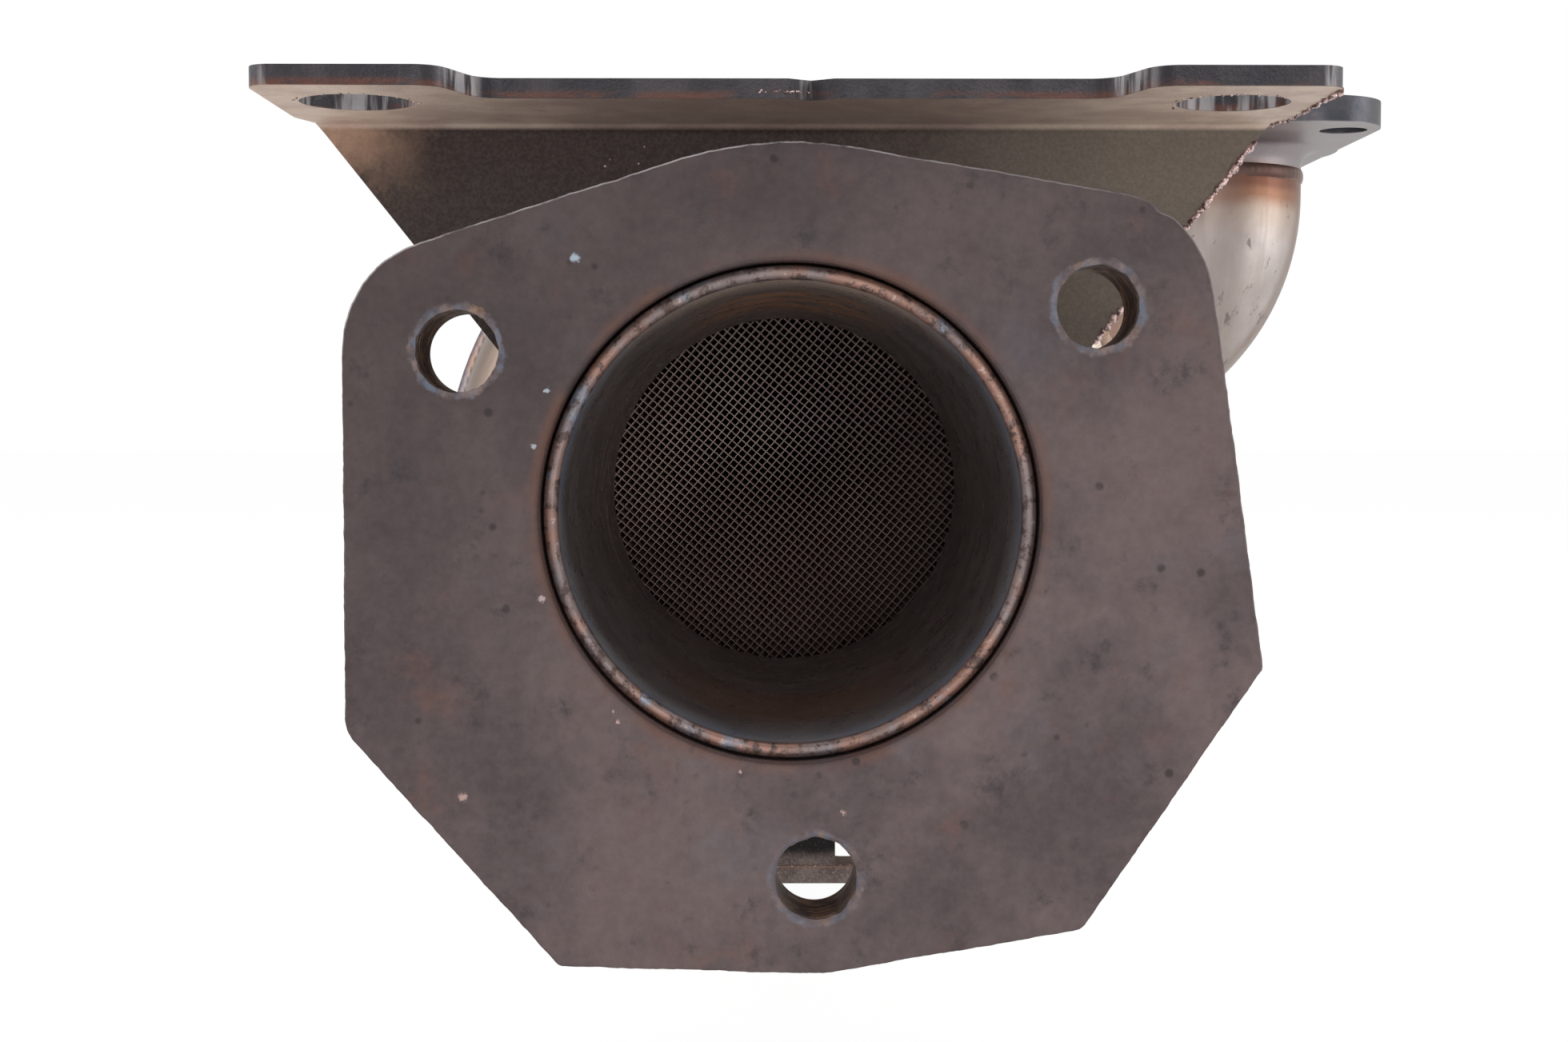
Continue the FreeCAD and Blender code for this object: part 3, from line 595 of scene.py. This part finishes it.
heated_sheet, shader, place = steel("heat_browned_stainless", 0.9, 0.32)
along = axes(place)[1]
stain = cloud(place, 0.03, 6, 0.62)
colour = tint(band(stain, 0.36, 0.64), shade(176, 163, 150), shade(190, 180, 169))
near_pipe = band(maths("ADD", along, times(stain, 0.03)), 0.176, 0.144)
colour = cover(colour, shade(108, 90, 80), near_pipe, 0.85)
joint_heat = fade_from(along, 0.133, 220)
joint_heat = maths("MAXIMUM", joint_heat, fade_from(along, 0.2425, 150))
heat_hue = tint(band(cloud(place, 0.01, 3), 0.4, 0.6), shade(136, 104, 84), shade(112, 106, 116))
colour = cover(colour, heat_hue, joint_heat, 0.8)
dust = band(cloud(place, 0.009, 7, 0.75, shift=(2, 5, 3)), 0.55, 0.72)
colour = cover(colour, shade(122, 104, 90), dust, 0.35)
wire(shader, "Base Color", colour)
wire(shader, "Roughness", spread(stain, 0.3, 0.7, 0.3, 0.38))
rolled = cloud(place, 0.0016, 4, 0.6, stretch=(1, 0.2, 1))
emboss(shader, rolled, 0.00003, emboss(shader, cloud(place, 0.022, 2, 0.5), 0.0006))
for name in ("outlet_cone", "can_shell"):
    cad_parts[name].data.materials[0] = heated_sheet

fibre, shader, place = steel("pressed_ceramic_fibre", 0.0, 0.95)
strands = cloud(place, 0.0007, 5, 0.8, stretch=(1, 3, 1))
colour = tint(band(strands, 0.35, 0.65), shade(186, 178, 162), shade(228, 222, 208))
wire(shader, "Base Color", colour)
emboss(shader, strands, 0.0003)
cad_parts["support_mat"].data.materials[0] = fibre

knit, shader, place = steel("knitted_wire", 0.8, 0.4)
loops = cells(place, 900, feature="DISTANCE_TO_EDGE")
# The gaps between the wires are painted dark brown: painted shade.
colour = tint(band(loops, 0.02, 0.25), shade(168, 162, 154), shade(44, 40, 38))
wire(shader, "Base Color", colour)
emboss(shader, band(loops, 0.25, 0.02), 0.0003)
for name in ("outlet_mat_seal", "inlet_mat_seal"):
    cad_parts[name].data.materials[0] = knit

# ---- Inlet housing ----
# Two deep-drawn stainless pressings, lipped and welded along the middle of the neck. They close
# the can's rear end and take the elbow. The welds' heat has coloured their joints.

drawn_sheet, shader, place = steel("deep_drawn_stainless", 0.9, 0.34)
along = axes(place)[1]
stain = cloud(place, 0.024, 6, 0.62)
colour = tint(band(stain, 0.36, 0.64), shade(180, 169, 157), shade(194, 185, 175))
seam_heat = fade_from(along, 0.282, 120)
rim_heat = band(along, 0.252, 0.244)
heat = maths("MAXIMUM", times(seam_heat, seam_heat), rim_heat)
heat_hue = tint(band(cloud(place, 0.012, 3), 0.4, 0.6),
                shade(158, 112, 80), shade(120, 112, 128))
colour = cover(colour, heat_hue, heat, 0.75)
dust = band(cloud(place, 0.008, 7, 0.75, shift=(4, 5, 1)), 0.55, 0.72)
colour = cover(colour, shade(126, 110, 98), dust, 0.3)
wire(shader, "Base Color", colour)
wire(shader, "Roughness", spread(stain, 0.3, 0.7, 0.31, 0.39))
emboss(shader, cloud(place, 0.0012, 4, 0.6), 0.00003,
       emboss(shader, cloud(place, 0.018, 2, 0.5), 0.0006))
for name in ("inlet_housing_front", "inlet_housing_rear"):
    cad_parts[name].data.materials[0] = drawn_sheet

# ---- Inlet elbow and inlet flange ----
# Bent stainless tube, welded under a forged three-bolt flange. The weld has left a rusty ring
# that fades through orange and straw into the bright tube.

elbow_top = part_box("inlet_elbow")[1].z
bright_tube, shader, place = steel("bright_bent_tube", 0.6, 0.4)
across, _, height = axes(place)
blot = cloud(place, 0.012, 4, 0.6)
below = maths("ADD", maths("SUBTRACT", elbow_top, height),
              times(maths("SUBTRACT", blot, 0.5), 0.005))
colour = tint(band(cloud(place, 0.026, 5, 0.6), 0.36, 0.64),
              shade(172, 161, 156), shade(194, 184, 179))
streaks = band(cloud(place, 0.006, 4, 0.6, stretch=(1, 1, 9)), 0.48, 0.66)
colour = cover(colour, shade(150, 138, 134), streaks, 0.25)
colour = cover(colour, shade(160, 138, 120), band(below, 0.018, 0.009), 0.75)
colour = tint(band(below, 0.0105, 0.0062), colour, shade(136, 96, 74))
colour = tint(band(below, 0.0058, 0.0034), colour, shade(112, 70, 52))
colour = tint(band(below, 0.0024, 0.0012), colour, shade(84, 58, 50))
neck_centre = (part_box("elbow_neck_weld")[0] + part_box("elbow_neck_weld")[1]) / 2
from_neck = distance(place, neck_centre)
neck_heat = band(maths("ADD", from_neck, times(blot, 0.003)), 0.0316, 0.0288)
colour = cover(colour, shade(166, 116, 84), neck_heat, 0.85)
facing_right, facing_back, _ = axes(place.node.outputs["Normal"])
# Faces turned to the right are tinted dark taupe: a painted dark reflection along the tube's right
# contour.
painted_contour_shade = times(band(facing_right, 0.2, 0.45), band(maths("ABSOLUTE", facing_back), 0.6, 0.44))
colour = cover(colour, shade(128, 106, 94), painted_contour_shade, 0.7)
# Darker on the elbow's left part and towards its bottom: painted shade.
painted_shade_left = band(maths("ADD", across, times(blot, 0.008)), 0.1225, 0.112)
colour = cover(colour, shade(112, 100, 98), painted_shade_left, 0.45)
colour = cover(colour, shade(130, 112, 102), band(height, 0.052, 0.034), 0.3)
smudge = band(cloud(place, 0.004, 5, 0.7, stretch=(1, 1, 1.8), shift=(8, 2, 4)), 0.6, 0.66)
colour = cover(colour, shade(96, 84, 82), smudge, 0.7)
wire(shader, "Base Color", colour)
wire(shader, "Roughness", spread(streaks, 0.0, 1.0, 0.4, 0.5))
emboss(shader, cloud(place, 0.001, 3, 0.6, stretch=(1, 1, 3)), 0.00003,
       emboss(shader, cloud(place, 0.014, 2, 0.5), 0.0004))
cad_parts["inlet_elbow"].data.materials[0] = bright_tube

forged, shader, place = steel("forged_inlet_steel", 0.7, 0.4)
height = axes(place)[2]
bloom = cloud(place, 0.02, 5, 0.6)
colour = tint(band(bloom, 0.36, 0.64), shade(124, 116, 117), shade(144, 135, 136))
plate_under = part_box("inlet_flange")[1].z - 0.006
facing_up = axes(place.node.outputs["Normal"])[2]
sides = times(band(maths("ABSOLUTE", facing_up), 0.75, 0.35),
              band(height, plate_under - 0.0002, plate_under + 0.0004))
side_hue = tint(band(cloud(place, 0.007, 4, 0.6), 0.4, 0.6), shade(50, 53, 62), shade(66, 66, 72))
colour = cover(colour, side_hue, sides, 0.9)
foot_heat = band(maths("ADD", height, times(bloom, 0.004)), elbow_top + 0.0052, elbow_top + 0.002)
colour = cover(colour, shade(170, 138, 118), foot_heat, 0.6)
rust = band(cloud(place, 0.006, 6, 0.75, shift=(3, 8, 2)), 0.58, 0.72)
colour = cover(colour, shade(142, 104, 84), rust, 0.4)
wire(shader, "Base Color", colour)
wire(shader, "Roughness", spread(bloom, 0.3, 0.7, 0.34, 0.5))
emboss(shader, cloud(place, 0.0014, 4, 0.65), 0.00008)
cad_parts["inlet_flange"].data.materials[0] = forged

# ---- Upper bracket ----
# A stay of 3 mm hot-rolled plate, bent square and plasma cut, welded over the pipe. Its web is
# browned by heat at the left, grey and grainy at the right, and its cut edges are blue and rusty.

bracket_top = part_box("upper_bracket")[1].z
ear_holes = (0.06705, -0.06445)
ear_hole_depth = 0.0529
plate_skin, shader, place = steel("hot_rolled_plate", 0.15, 0.5)
shader.inputs["Specular IOR Level"].default_value = 0.25
across, depth, height = axes(place)
drift = times(maths("SUBTRACT", cloud(place, 0.012, 5, 0.65), 0.5), 0.03)
wander = maths("ADD", across, drift)
colour = tint(band(wander, 0.000, 0.06), shade(48, 35, 33), shade(102, 92, 83))
colour = tint(band(wander, -0.052, -0.078), colour, shade(180, 144, 122))
low_dark = band(maths("ADD", height, drift), 0.058, 0.046)
colour = cover(colour, shade(46, 36, 35), low_dark, band(across, 0.03, -0.03))
facing_up = axes(place.node.outputs["Normal"])[2]
under = band(facing_up, -0.5, -0.9)
tan_under = tint(band(cloud(place, 0.01, 5, 0.6), 0.4, 0.6),
                 shade(207, 182, 167), shade(229, 207, 189))
# Darker across the middle of the underside, where the flange and the pipe shade it: painted shade.
middle = band(maths("ABSOLUTE", maths("ADD", across, times(drift, 1.2))), 0.062, 0.02)
tan_under = cover(tan_under, shade(127, 109, 106), middle, 0.65)
colour = cover(colour, tan_under, under, 0.8)
grain = cloud(place, 0.0006, 3, 0.7)
speckled = band(grain, 0.35, 0.68)
colour = tint(speckled, tint(0.1, colour, shade(31, 26, 24)),
              tint(0.05, colour, shade(191, 169, 149)))
in_front = times(band(height, bracket_top - 0.0031, bracket_top - 0.0028),
                 band(maths("ABSOLUTE", facing_up), 0.8, 0.4))
cut_hue = tint(band(cloud(place, 0.008, 4, 0.6, stretch=(1, 1, 2)), 0.4, 0.62),
               shade(44, 41, 46), shade(62, 58, 62))
rust_runs = cloud(place, 0.012, 5, 0.7, stretch=(1.6, 1, 0.4), shift=(2, 7, 3))
rusty = times(band(rust_runs, 0.44, 0.58),
              band(height, bracket_top - 0.0014, bracket_top - 0.0026))
cut_hue = cover(cut_hue, shade(96, 58, 46), rusty, 0.8)
# Pale marks at the S-bends, the notch, the ear ends and round the ear holes, broken into streaks:
# painted highlights on the cut edges.
painted_highlight = None
for middle, half in ((-0.0475, 0.003), (0.05, 0.0036), (0.0028, 0.0012),
                     (0.0775, 0.0012), (-0.0745, 0.0012)):
    near_bend = band(maths("ABSOLUTE", maths("SUBTRACT", across, middle)), half, half * 0.2)
    painted_highlight = near_bend if painted_highlight is None else maths("MAXIMUM", painted_highlight, near_bend)
for hole_x in ear_holes:
    flat_place = put("CombineXYZ", {0: across, 1: depth}).outputs[0]
    off = distance(flat_place, (hole_x, ear_hole_depth, 0))
    painted_highlight = maths("MAXIMUM", painted_highlight, band(off, 0.0095, 0.0088))
highlight_streaks = band(cloud(place, 0.0022, 3, 0.6, stretch=(1, 1, 8), shift=(5, 5, 1)), 0.42, 0.6)
cut_hue = cover(cut_hue, shade(180, 176, 178), times(painted_highlight, highlight_streaks), 0.7)
colour = tint(in_front, colour, cut_hue)
wire(shader, "Base Color", colour)
wire(shader, "Roughness", spread(in_front, 0.0, 1.0, 0.52, 0.34))
emboss(shader, grain, 0.0001, emboss(shader, cloud(place, 0.004, 4, 0.6), 0.00015))
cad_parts["upper_bracket"].data.materials[0] = plate_skin

# ---- Lower bracket ----
# A shaped web and a drilled foot of the same plate, welded under the cone's neck. The web is
# painted near black as painted shade; the foot's edge is bare and scratched.

foot_skin, shader, place = steel("foot_plate_with_painted_shade", 0.1, 0.6)
shader.inputs["Specular IOR Level"].default_value = 0.2
_, depth, height = axes(place)
foot_low, foot_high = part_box("lower_bracket_foot")
mottle = cloud(place, 0.005, 5, 0.7)
colour = tint(band(mottle, 0.38, 0.62), shade(100, 88, 85), shade(128, 114, 109))
# The web above the foot is painted near black: painted shade.
painted_shade_on_web = band(maths("ADD", height, times(maths("SUBTRACT", mottle, 0.5), 0.003)),
              foot_high.z + 0.0006, foot_high.z + 0.003)
colour = tint(painted_shade_on_web, colour, shade(14, 11, 11))
on_top = times(band(height, foot_high.z - 0.0003, foot_high.z - 0.0001),
               band(height, foot_high.z + 0.0006, foot_high.z + 0.0002))
colour = cover(colour, shade(124, 108, 100), on_top, 0.6)
edge_rust = times(band(height, foot_high.z - 0.0009, foot_high.z - 0.0002),
                  band(depth, foot_low.y + 0.0004, foot_low.y + 0.0002))
colour = cover(colour, shade(138, 104, 90), edge_rust, 0.4)
fleck = cloud(place, 0.0005, 4, 0.8)
colour = cover(colour, shade(186, 172, 166), band(fleck, 0.56, 0.64),
               maths("SUBTRACT", 0.55, times(painted_shade_on_web, 0.45)))
colour = cover(colour, shade(40, 34, 33), band(fleck, 0.46, 0.38), 0.5)
wire(shader, "Base Color", colour)
emboss(shader, cloud(place, 0.001, 4, 0.7), 0.00008)
for name in ("lower_bracket_web", "lower_bracket_foot"):
    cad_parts[name].data.materials[0] = foot_skin

# ---- Weld beads ----
# Every joint is welded by hand or on a turntable, in beads of overlapping ripples about 2 mm
# apart. The arc has left them dark brown, with blue and straw where they cooled last.

weld_metal, shader, place = steel("rippled_weld_metal", 0.8, 0.36)
glow_stain = cloud(place, 0.006, 5, 0.65)
colour = tint(band(glow_stain, 0.36, 0.62), shade(84, 68, 60), shade(140, 118, 104))
blue = band(cloud(place, 0.008, 4, 0.6, shift=(4, 4, 2)), 0.54, 0.66)
colour = cover(colour, shade(92, 98, 124), blue, 0.6)
straw = band(cloud(place, 0.007, 4, 0.6, shift=(1, 7, 5)), 0.56, 0.68)
colour = cover(colour, shade(178, 124, 84), straw, 0.7)
wire(shader, "Base Color", colour)
emboss(shader, cloud(place, 0.0007, 4, 0.7), 0.00008)


ripple_pitch = 0.002
ripple_bow = 0.0008
bead_points, face_points = 12, 8


def rippled_bead(node, face, length, path, closed=True, finish=weld_metal):
    """A bead whose ripples follow a path, its section given by its face and points behind."""
    steps = max(12, round(length / ripple_pitch) * 4)
    bpy.ops.object.select_all(action="DESELECT")
    bpy.ops.mesh.primitive_grid_add(x_subdivisions=bead_points, y_subdivisions=steps, size=1)
    bead = bpy.context.object
    bead.name = node + "_ripples"
    run = length if closed else length - ripple_bow
    for corner in bead.data.vertices:
        step, point = divmod(corner.index, bead_points + 1)
        point %= bead_points
        share = min(point / face_points, 1)
        middle = 1 - (2 * share - 1) ** 2 if point <= face_points else 0
        turn = 2 * math.pi * step / steps
        spot = Vector((math.cos(turn) * 5, math.sin(turn) * 5 + share * 0.7, len(node) * 1.7))
        wander = noise.noise(spot) * 0.5 + 0.5
        ripple = (0.0, 0.5, 1.0, 0.75)[step % 4]
        keep = 1 - (0.15 - 0.11 * ripple) * middle - 0.07 * wander
        behind = (point - face_points) / (bead_points - face_points)
        out, along = face(share if point <= face_points else 1 + behind)
        corner.co = path(step / steps * run + ripple_bow * middle, out * keep, along * keep)
    bpy.ops.object.mode_set(mode="EDIT")
    bpy.ops.mesh.select_all(action="SELECT")
    bpy.ops.mesh.remove_doubles(threshold=0.000002)
    if not closed:
        bpy.ops.mesh.fill_holes(sides=0)
    bpy.ops.mesh.normals_make_consistent(inside=False)
    bpy.ops.object.mode_set(mode="OBJECT")
    smooth(50)
    bead.data.materials.clear()
    bead.data.materials.append(finish)
    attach(bead, "root")
    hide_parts(node)


def fillet(out, along):
    """Section of a bead in a corner: its bulging face, then back by the root."""
    def face(share):
        if share > 1.6:
            return 0.5 * out, 0.0
        if share > 1:
            return 0.0, 0.5 * along if share < 1.3 else 0.0
        bent = share * math.pi / 2
        return out * max(0.0, math.cos(bent)) ** 1.2, along * max(0.0, math.sin(bent)) ** 1.2
    return face


def crown(rise, wide):
    """Section of a bead over a joint or on an edge: a low arch, then back below the surface."""
    def face(share):
        if share > 1:
            return -0.3 * rise, wide * (1.75 - share) * 0.6
        return rise * math.sin(share * math.pi), -wide / 2 * math.cos(share * math.pi)
    return face


def ring_path(centre, axis, radius, start=0.0, side=(1, 0, 0)):
    """A path round an axis, from a start angle in degrees measured from a side direction."""
    axis = Vector(axis).normalized()
    first = (Vector(side) - axis * axis.dot(Vector(side))).normalized()
    second = axis.cross(first)

    def path(at, out, along):
        turn = math.radians(start) + at / radius
        way = first * math.cos(turn) + second * math.sin(turn)
        return Vector(centre) + way * (radius + out) + axis * along
    return path


can_axis, up = (0, 1, 0), (0, 0, 1)
pipe_outside, cone_outside, can_outside, boss_outside = 0.03175, 0.0619, 0.0635, 0.012
elbow_outside = 0.0254
neck_axis = Vector((math.cos(math.radians(22)), 0, math.sin(math.radians(22))))
neck_joint = Vector((0, 0.282, 0)) + neck_axis * 0.084
elbow_end = (0.107054, 0.282, 0.073414)
boss_foot = (-0.014, 0.3201, -0.013)
own_finish = {"outlet_cone_rim_weld": heated_sheet, "inlet_flange_weld": bright_tube}
for node, section, centre, axis, radius in (
        ("outlet_flange_weld", fillet(0.005, 0.005), (0, 0.0127, 0), can_axis, pipe_outside),
        ("outlet_cone_neck_weld", fillet(0.0017, -0.0034), (0, 0.086, 0), can_axis, pipe_outside),
        ("outlet_cone_rim_weld", fillet(0.0015, -0.0015), (0, 0.133, 0), can_axis, cone_outside),
        ("housing_rim_weld", fillet(0.0017, -0.0034), (0, 0.244, 0), can_axis, can_outside),
        ("sensor_boss_weld", fillet(0.0034, 0.0034), boss_foot, can_axis, boss_outside),
        ("elbow_neck_weld", fillet(0.0017, 0.0034), neck_joint, neck_axis, elbow_outside),
        ("inlet_flange_weld", crown(0.0006, 0.0034), elbow_end, up, elbow_outside)):
    rippled_bead(node, section, 2 * math.pi * radius, ring_path(centre, axis, radius),
                 finish=own_finish.get(node, weld_metal))
over = math.degrees(math.acos(0.014 / pipe_outside)) - 2.5
rippled_bead("upper_bracket_weld", fillet(0.0034, 0.0017), math.radians(2 * over) * pipe_outside,
             ring_path((0, 0.08, 0), can_axis, pipe_outside, -over, up), closed=False)
sleeve_outside = 0.03345
under = math.degrees(math.asin(0.025 / sleeve_outside)) - 2.5
rippled_bead("lower_bracket_saddle_weld", fillet(0.0034, -0.0034),
             math.radians(2 * under) * sleeve_outside,
             ring_path((0, 0.0935, 0), can_axis, sleeve_outside, -under, (0, 0, -1)), closed=False)
bead_low, bead_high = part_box("lower_bracket_foot_weld")


def foot_path(at, out, along):
    """The straight path of the bead behind the lower bracket's web."""
    return Vector((bead_low.x + at, bead_low.y + out, bead_low.z + along))


rippled_bead("lower_bracket_foot_weld", fillet(bead_high.y - bead_low.y, bead_high.z - bead_low.z),
             bead_high.x - bead_low.x, foot_path, closed=False)

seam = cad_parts["housing_seam_weld"]
seam_low, seam_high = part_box("housing_seam_weld")
seam_y = (seam_low.y + seam_high.y) / 2
seam_rise = 0.0012
seam_steps = 1440
seam_rim = []
for step in range(seam_steps):
    turn = 2 * math.pi * step / seam_steps
    way = Vector((math.cos(turn), 0, math.sin(turn)))
    hit = seam.ray_cast(Vector((0, seam_y, 0)) + way * 0.16, -way)[1]
    seam_rim.append(hit - way * seam_rise)
seam_ways = [0.0]
for step in range(seam_steps):
    seam_ways.append(seam_ways[-1] + (seam_rim[(step + 1) % seam_steps] - seam_rim[step]).length)


def seam_path(at, out, along):
    """The path of the bead round the pressings' joined lips."""
    at %= seam_ways[-1]
    low, high = 0, seam_steps
    while high - low > 1:
        step = (low + high) // 2
        low, high = (step, high) if seam_ways[step] <= at else (low, step)
    share = (at - seam_ways[low]) / max(seam_ways[low + 1] - seam_ways[low], 1e-9)
    spot = seam_rim[low].lerp(seam_rim[(low + 1) % seam_steps], share)
    before, after = seam_rim[(low - 4) % seam_steps], seam_rim[(low + 5) % seam_steps]
    outward = (after - before).cross(Vector((0, 1, 0))).normalized()
    if outward.dot(spot - Vector((0, seam_y, 0))) < 0:
        outward = -outward
    return spot + outward * out + Vector((0, along, 0))


rippled_bead("housing_seam_weld", crown(seam_rise, seam_high.y - seam_low.y), seam_ways[-1],
             seam_path)

# ---- Sensor boss ----
# A turned stainless boss for the exhaust-gas sensor, welded to the rear pressing. It is chamfered
# at its mouth and tapped M18 x 1.5 right through.

bpy.ops.object.select_all(action="DESELECT")
boss_low, boss_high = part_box("sensor_boss")
boss_middle = Vector((-0.014, 0, -0.013))
thread_minor = 0.0082
thread_pitch = 0.0015
boss_outer = 0.012
boss_steps = 96
turned = [(boss_outer, boss_low.y + 0.0016), (boss_outer, boss_high.y - 0.0008),
          (boss_outer - 0.0008, boss_high.y), (thread_minor + 0.0011, boss_high.y)]
spigot = [(thread_minor, boss_low.y), (thread_minor + 0.0018, boss_low.y),
          (thread_minor + 0.0018, boss_low.y + 0.0016)]
thread_steps = int((boss_high.y - boss_low.y - 0.0004) / thread_pitch * 10)
section = spigot + turned + [None] * thread_steps
bpy.ops.mesh.primitive_torus_add(major_segments=boss_steps, minor_segments=len(section),
                                 major_radius=0.012, minor_radius=0.002)
boss = bpy.context.object
boss.name = "tapped_sensor_boss"
for corner in boss.data.vertices:
    step, index = divmod(corner.index, len(section))
    turn = 2 * math.pi * step / boss_steps
    if section[index] is not None:
        reach, height = section[index]
    else:
        share = (index - len(spigot) - len(turned) + 0.5) / thread_steps
        height = boss_high.y - 0.0001 - share * (boss_high.y - boss_low.y - 0.0002)
        phase = (height / thread_pitch - step / boss_steps) % 1
        ridge = max(0.0, min(1.0, 2.0 * abs(phase - 0.5) * 1.5 - 0.25))
        lead = min(1.0, (height - boss_low.y) / 0.0012)
        mouth = max(0.0, 0.0011 - (boss_high.y - height))
        reach = max(thread_minor + 0.00085 * ridge * lead, thread_minor + mouth)
    corner.co = boss_middle + Vector((math.cos(turn) * reach, height, math.sin(turn) * reach))
face_outward()
smooth(25)
turned_steel, shader, place = steel("turned_boss_steel", 0.9, 0.3)
rings = band(cloud(place, 0.004, 4, 0.6), 0.38, 0.62)
wire(shader, "Base Color", tint(rings, shade(150, 138, 128), shade(186, 178, 170)))
emboss(shader, cloud(place, 0.0006, 3, 0.6, stretch=(1, 0.25, 1)), 0.00004)
boss.data.materials.append(turned_steel)
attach(boss, "root")
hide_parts("sensor_boss")

# ---- Dross and spatter ----
# The plasma cut along the upper bracket's right side was never cleaned: a crust of frozen drops
# hangs on its edge. Fine weld spatter sticks to the plates round the holes and to the bore's rim.

dross_metal, shader, place = steel("frozen_plasma_dross", 0.7, 0.35)
crust = cloud(place, 0.0016, 4, 0.7)
colour = tint(band(crust, 0.4, 0.56), shade(96, 70, 66), shade(206, 180, 176))
wire(shader, "Base Color", colour)
emboss(shader, cloud(place, 0.0005, 3, 0.7), 0.00006)

dents = 0.00014
noise.seed_set(41)


def drops(name, spots, finish):
    """Small frozen drops of metal at the given spots, each slumped and dented in its own way."""
    bpy.ops.object.select_all(action="DESELECT")
    bpy.ops.mesh.primitive_ico_sphere_add(subdivisions=1, radius=spots[0][1], location=spots[0][0])
    crust = bpy.context.object
    crust.name = name
    bpy.ops.object.transform_apply()
    bpy.ops.object.mode_set(mode="EDIT")
    for spot, size, squash in spots[1:]:
        bpy.ops.mesh.primitive_ico_sphere_add(subdivisions=2 if size > 0.00035 else 1, radius=size,
                                              location=spot, scale=squash)
    bpy.ops.object.mode_set(mode="OBJECT")
    for corner in crust.data.vertices:
        corner.co += noise.noise_vector(corner.co * 1900) * dents
    smooth(70)
    crust.data.materials.append(finish)
    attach(crust, "root")


chance = random.Random(41)
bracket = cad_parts["upper_bracket"]
under_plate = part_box("upper_bracket")[1].z - 0.003
web_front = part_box("upper_bracket")[1].y - 0.003
crust_low, crust_high = 0.0245, 0.057
crust_front = 0.0395
leftward = Vector((-1, 0, 0))
crust_spots = []
for step in range(150):
    height = crust_low + (crust_high - crust_low) * (step + chance.uniform(-0.4, 0.4)) / 149
    hit = bracket.ray_cast(Vector((0.12, web_front + 0.0006, height)), leftward)[1]
    size = chance.uniform(0.00026, 0.00048) * (1.5 if chance.random() > 0.86 else 1)
    hit += Vector((chance.uniform(-0.0002, 0.0002), chance.uniform(-0.0009, 0.0001), 0))
    crust_spots.append((hit, size, (1, chance.uniform(0.7, 1.3), chance.uniform(0.7, 1.7))))
for step in range(70):
    depth = crust_front + (web_front - crust_front) * (step + chance.uniform(-0.4, 0.4)) / 69
    hit = bracket.ray_cast(Vector((0.12, depth, under_plate + 0.0005)), leftward)[1]
    size = chance.uniform(0.0002, 0.00036) * (1.6 if chance.random() > 0.86 else 1)
    hit += Vector((chance.uniform(-0.0003, 0.0001), 0, -0.0005 + chance.uniform(-0.0003, 0.0002)))
    crust_spots.append((hit, size, (1, chance.uniform(0.8, 1.6), chance.uniform(0.7, 1.2))))
drops("plasma_dross", crust_spots, dross_metal)

spatter_spots = []


def stick(across, depth, height, smallest, largest, squash):
    """One drop of spatter stuck at a place, its size drawn between two radii."""
    size = chance.uniform(smallest, largest)
    spatter_spots.append((Vector((across, depth, height)), size, squash))


for hole_x, start, turned, count in ((ear_holes[0], 150, 180, 26), (ear_holes[1], 200, 180, 12)):
    for step in range(count):
        turn = math.radians(start + turned * (step + chance.uniform(-0.4, 0.4)) / count)
        reach = 0.0088 + chance.uniform(-0.0001, 0.0007)
        stick(hole_x + math.cos(turn) * reach, ear_hole_depth + math.sin(turn) * reach,
              under_plate, 0.00016, 0.00034, (1, 1, 0.8))
for _ in range(16):
    stick(chance.uniform(-0.004, 0.004), 0.0402 + chance.uniform(0, 0.003), under_plate,
          0.00014, 0.00026, (1, 1, 0.7))
for _ in range(14):
    stick(chance.uniform(-0.03, -0.004), web_front, chance.uniform(0.04, 0.056),
          0.00012, 0.00024, (1, 0.7, 1))
bore_rim = 0.03285
for turn, size in ((292, 0.00034), (276, 0.0004), (262, 0.00046), (254, 0.0003), (248, 0.0005),
                   (330, 0.00034), (343, 0.0004), (312, 0.00028), (86, 0.00026), (118, 0.0003)):
    way = math.radians(turn)
    spot = Vector((math.sin(way) * bore_rim, 0.00065, math.cos(way) * bore_rim))
    spatter_spots.append((spot, size, (1, 1, 1)))
for _ in range(34):
    stick(chance.uniform(-0.01, 0.016), foot_low.y + chance.uniform(0, 0.0012), foot_high.z,
          0.0001, 0.00022, (1.3, 1, 0.8))
drops("weld_spatter", spatter_spots, dross_metal)
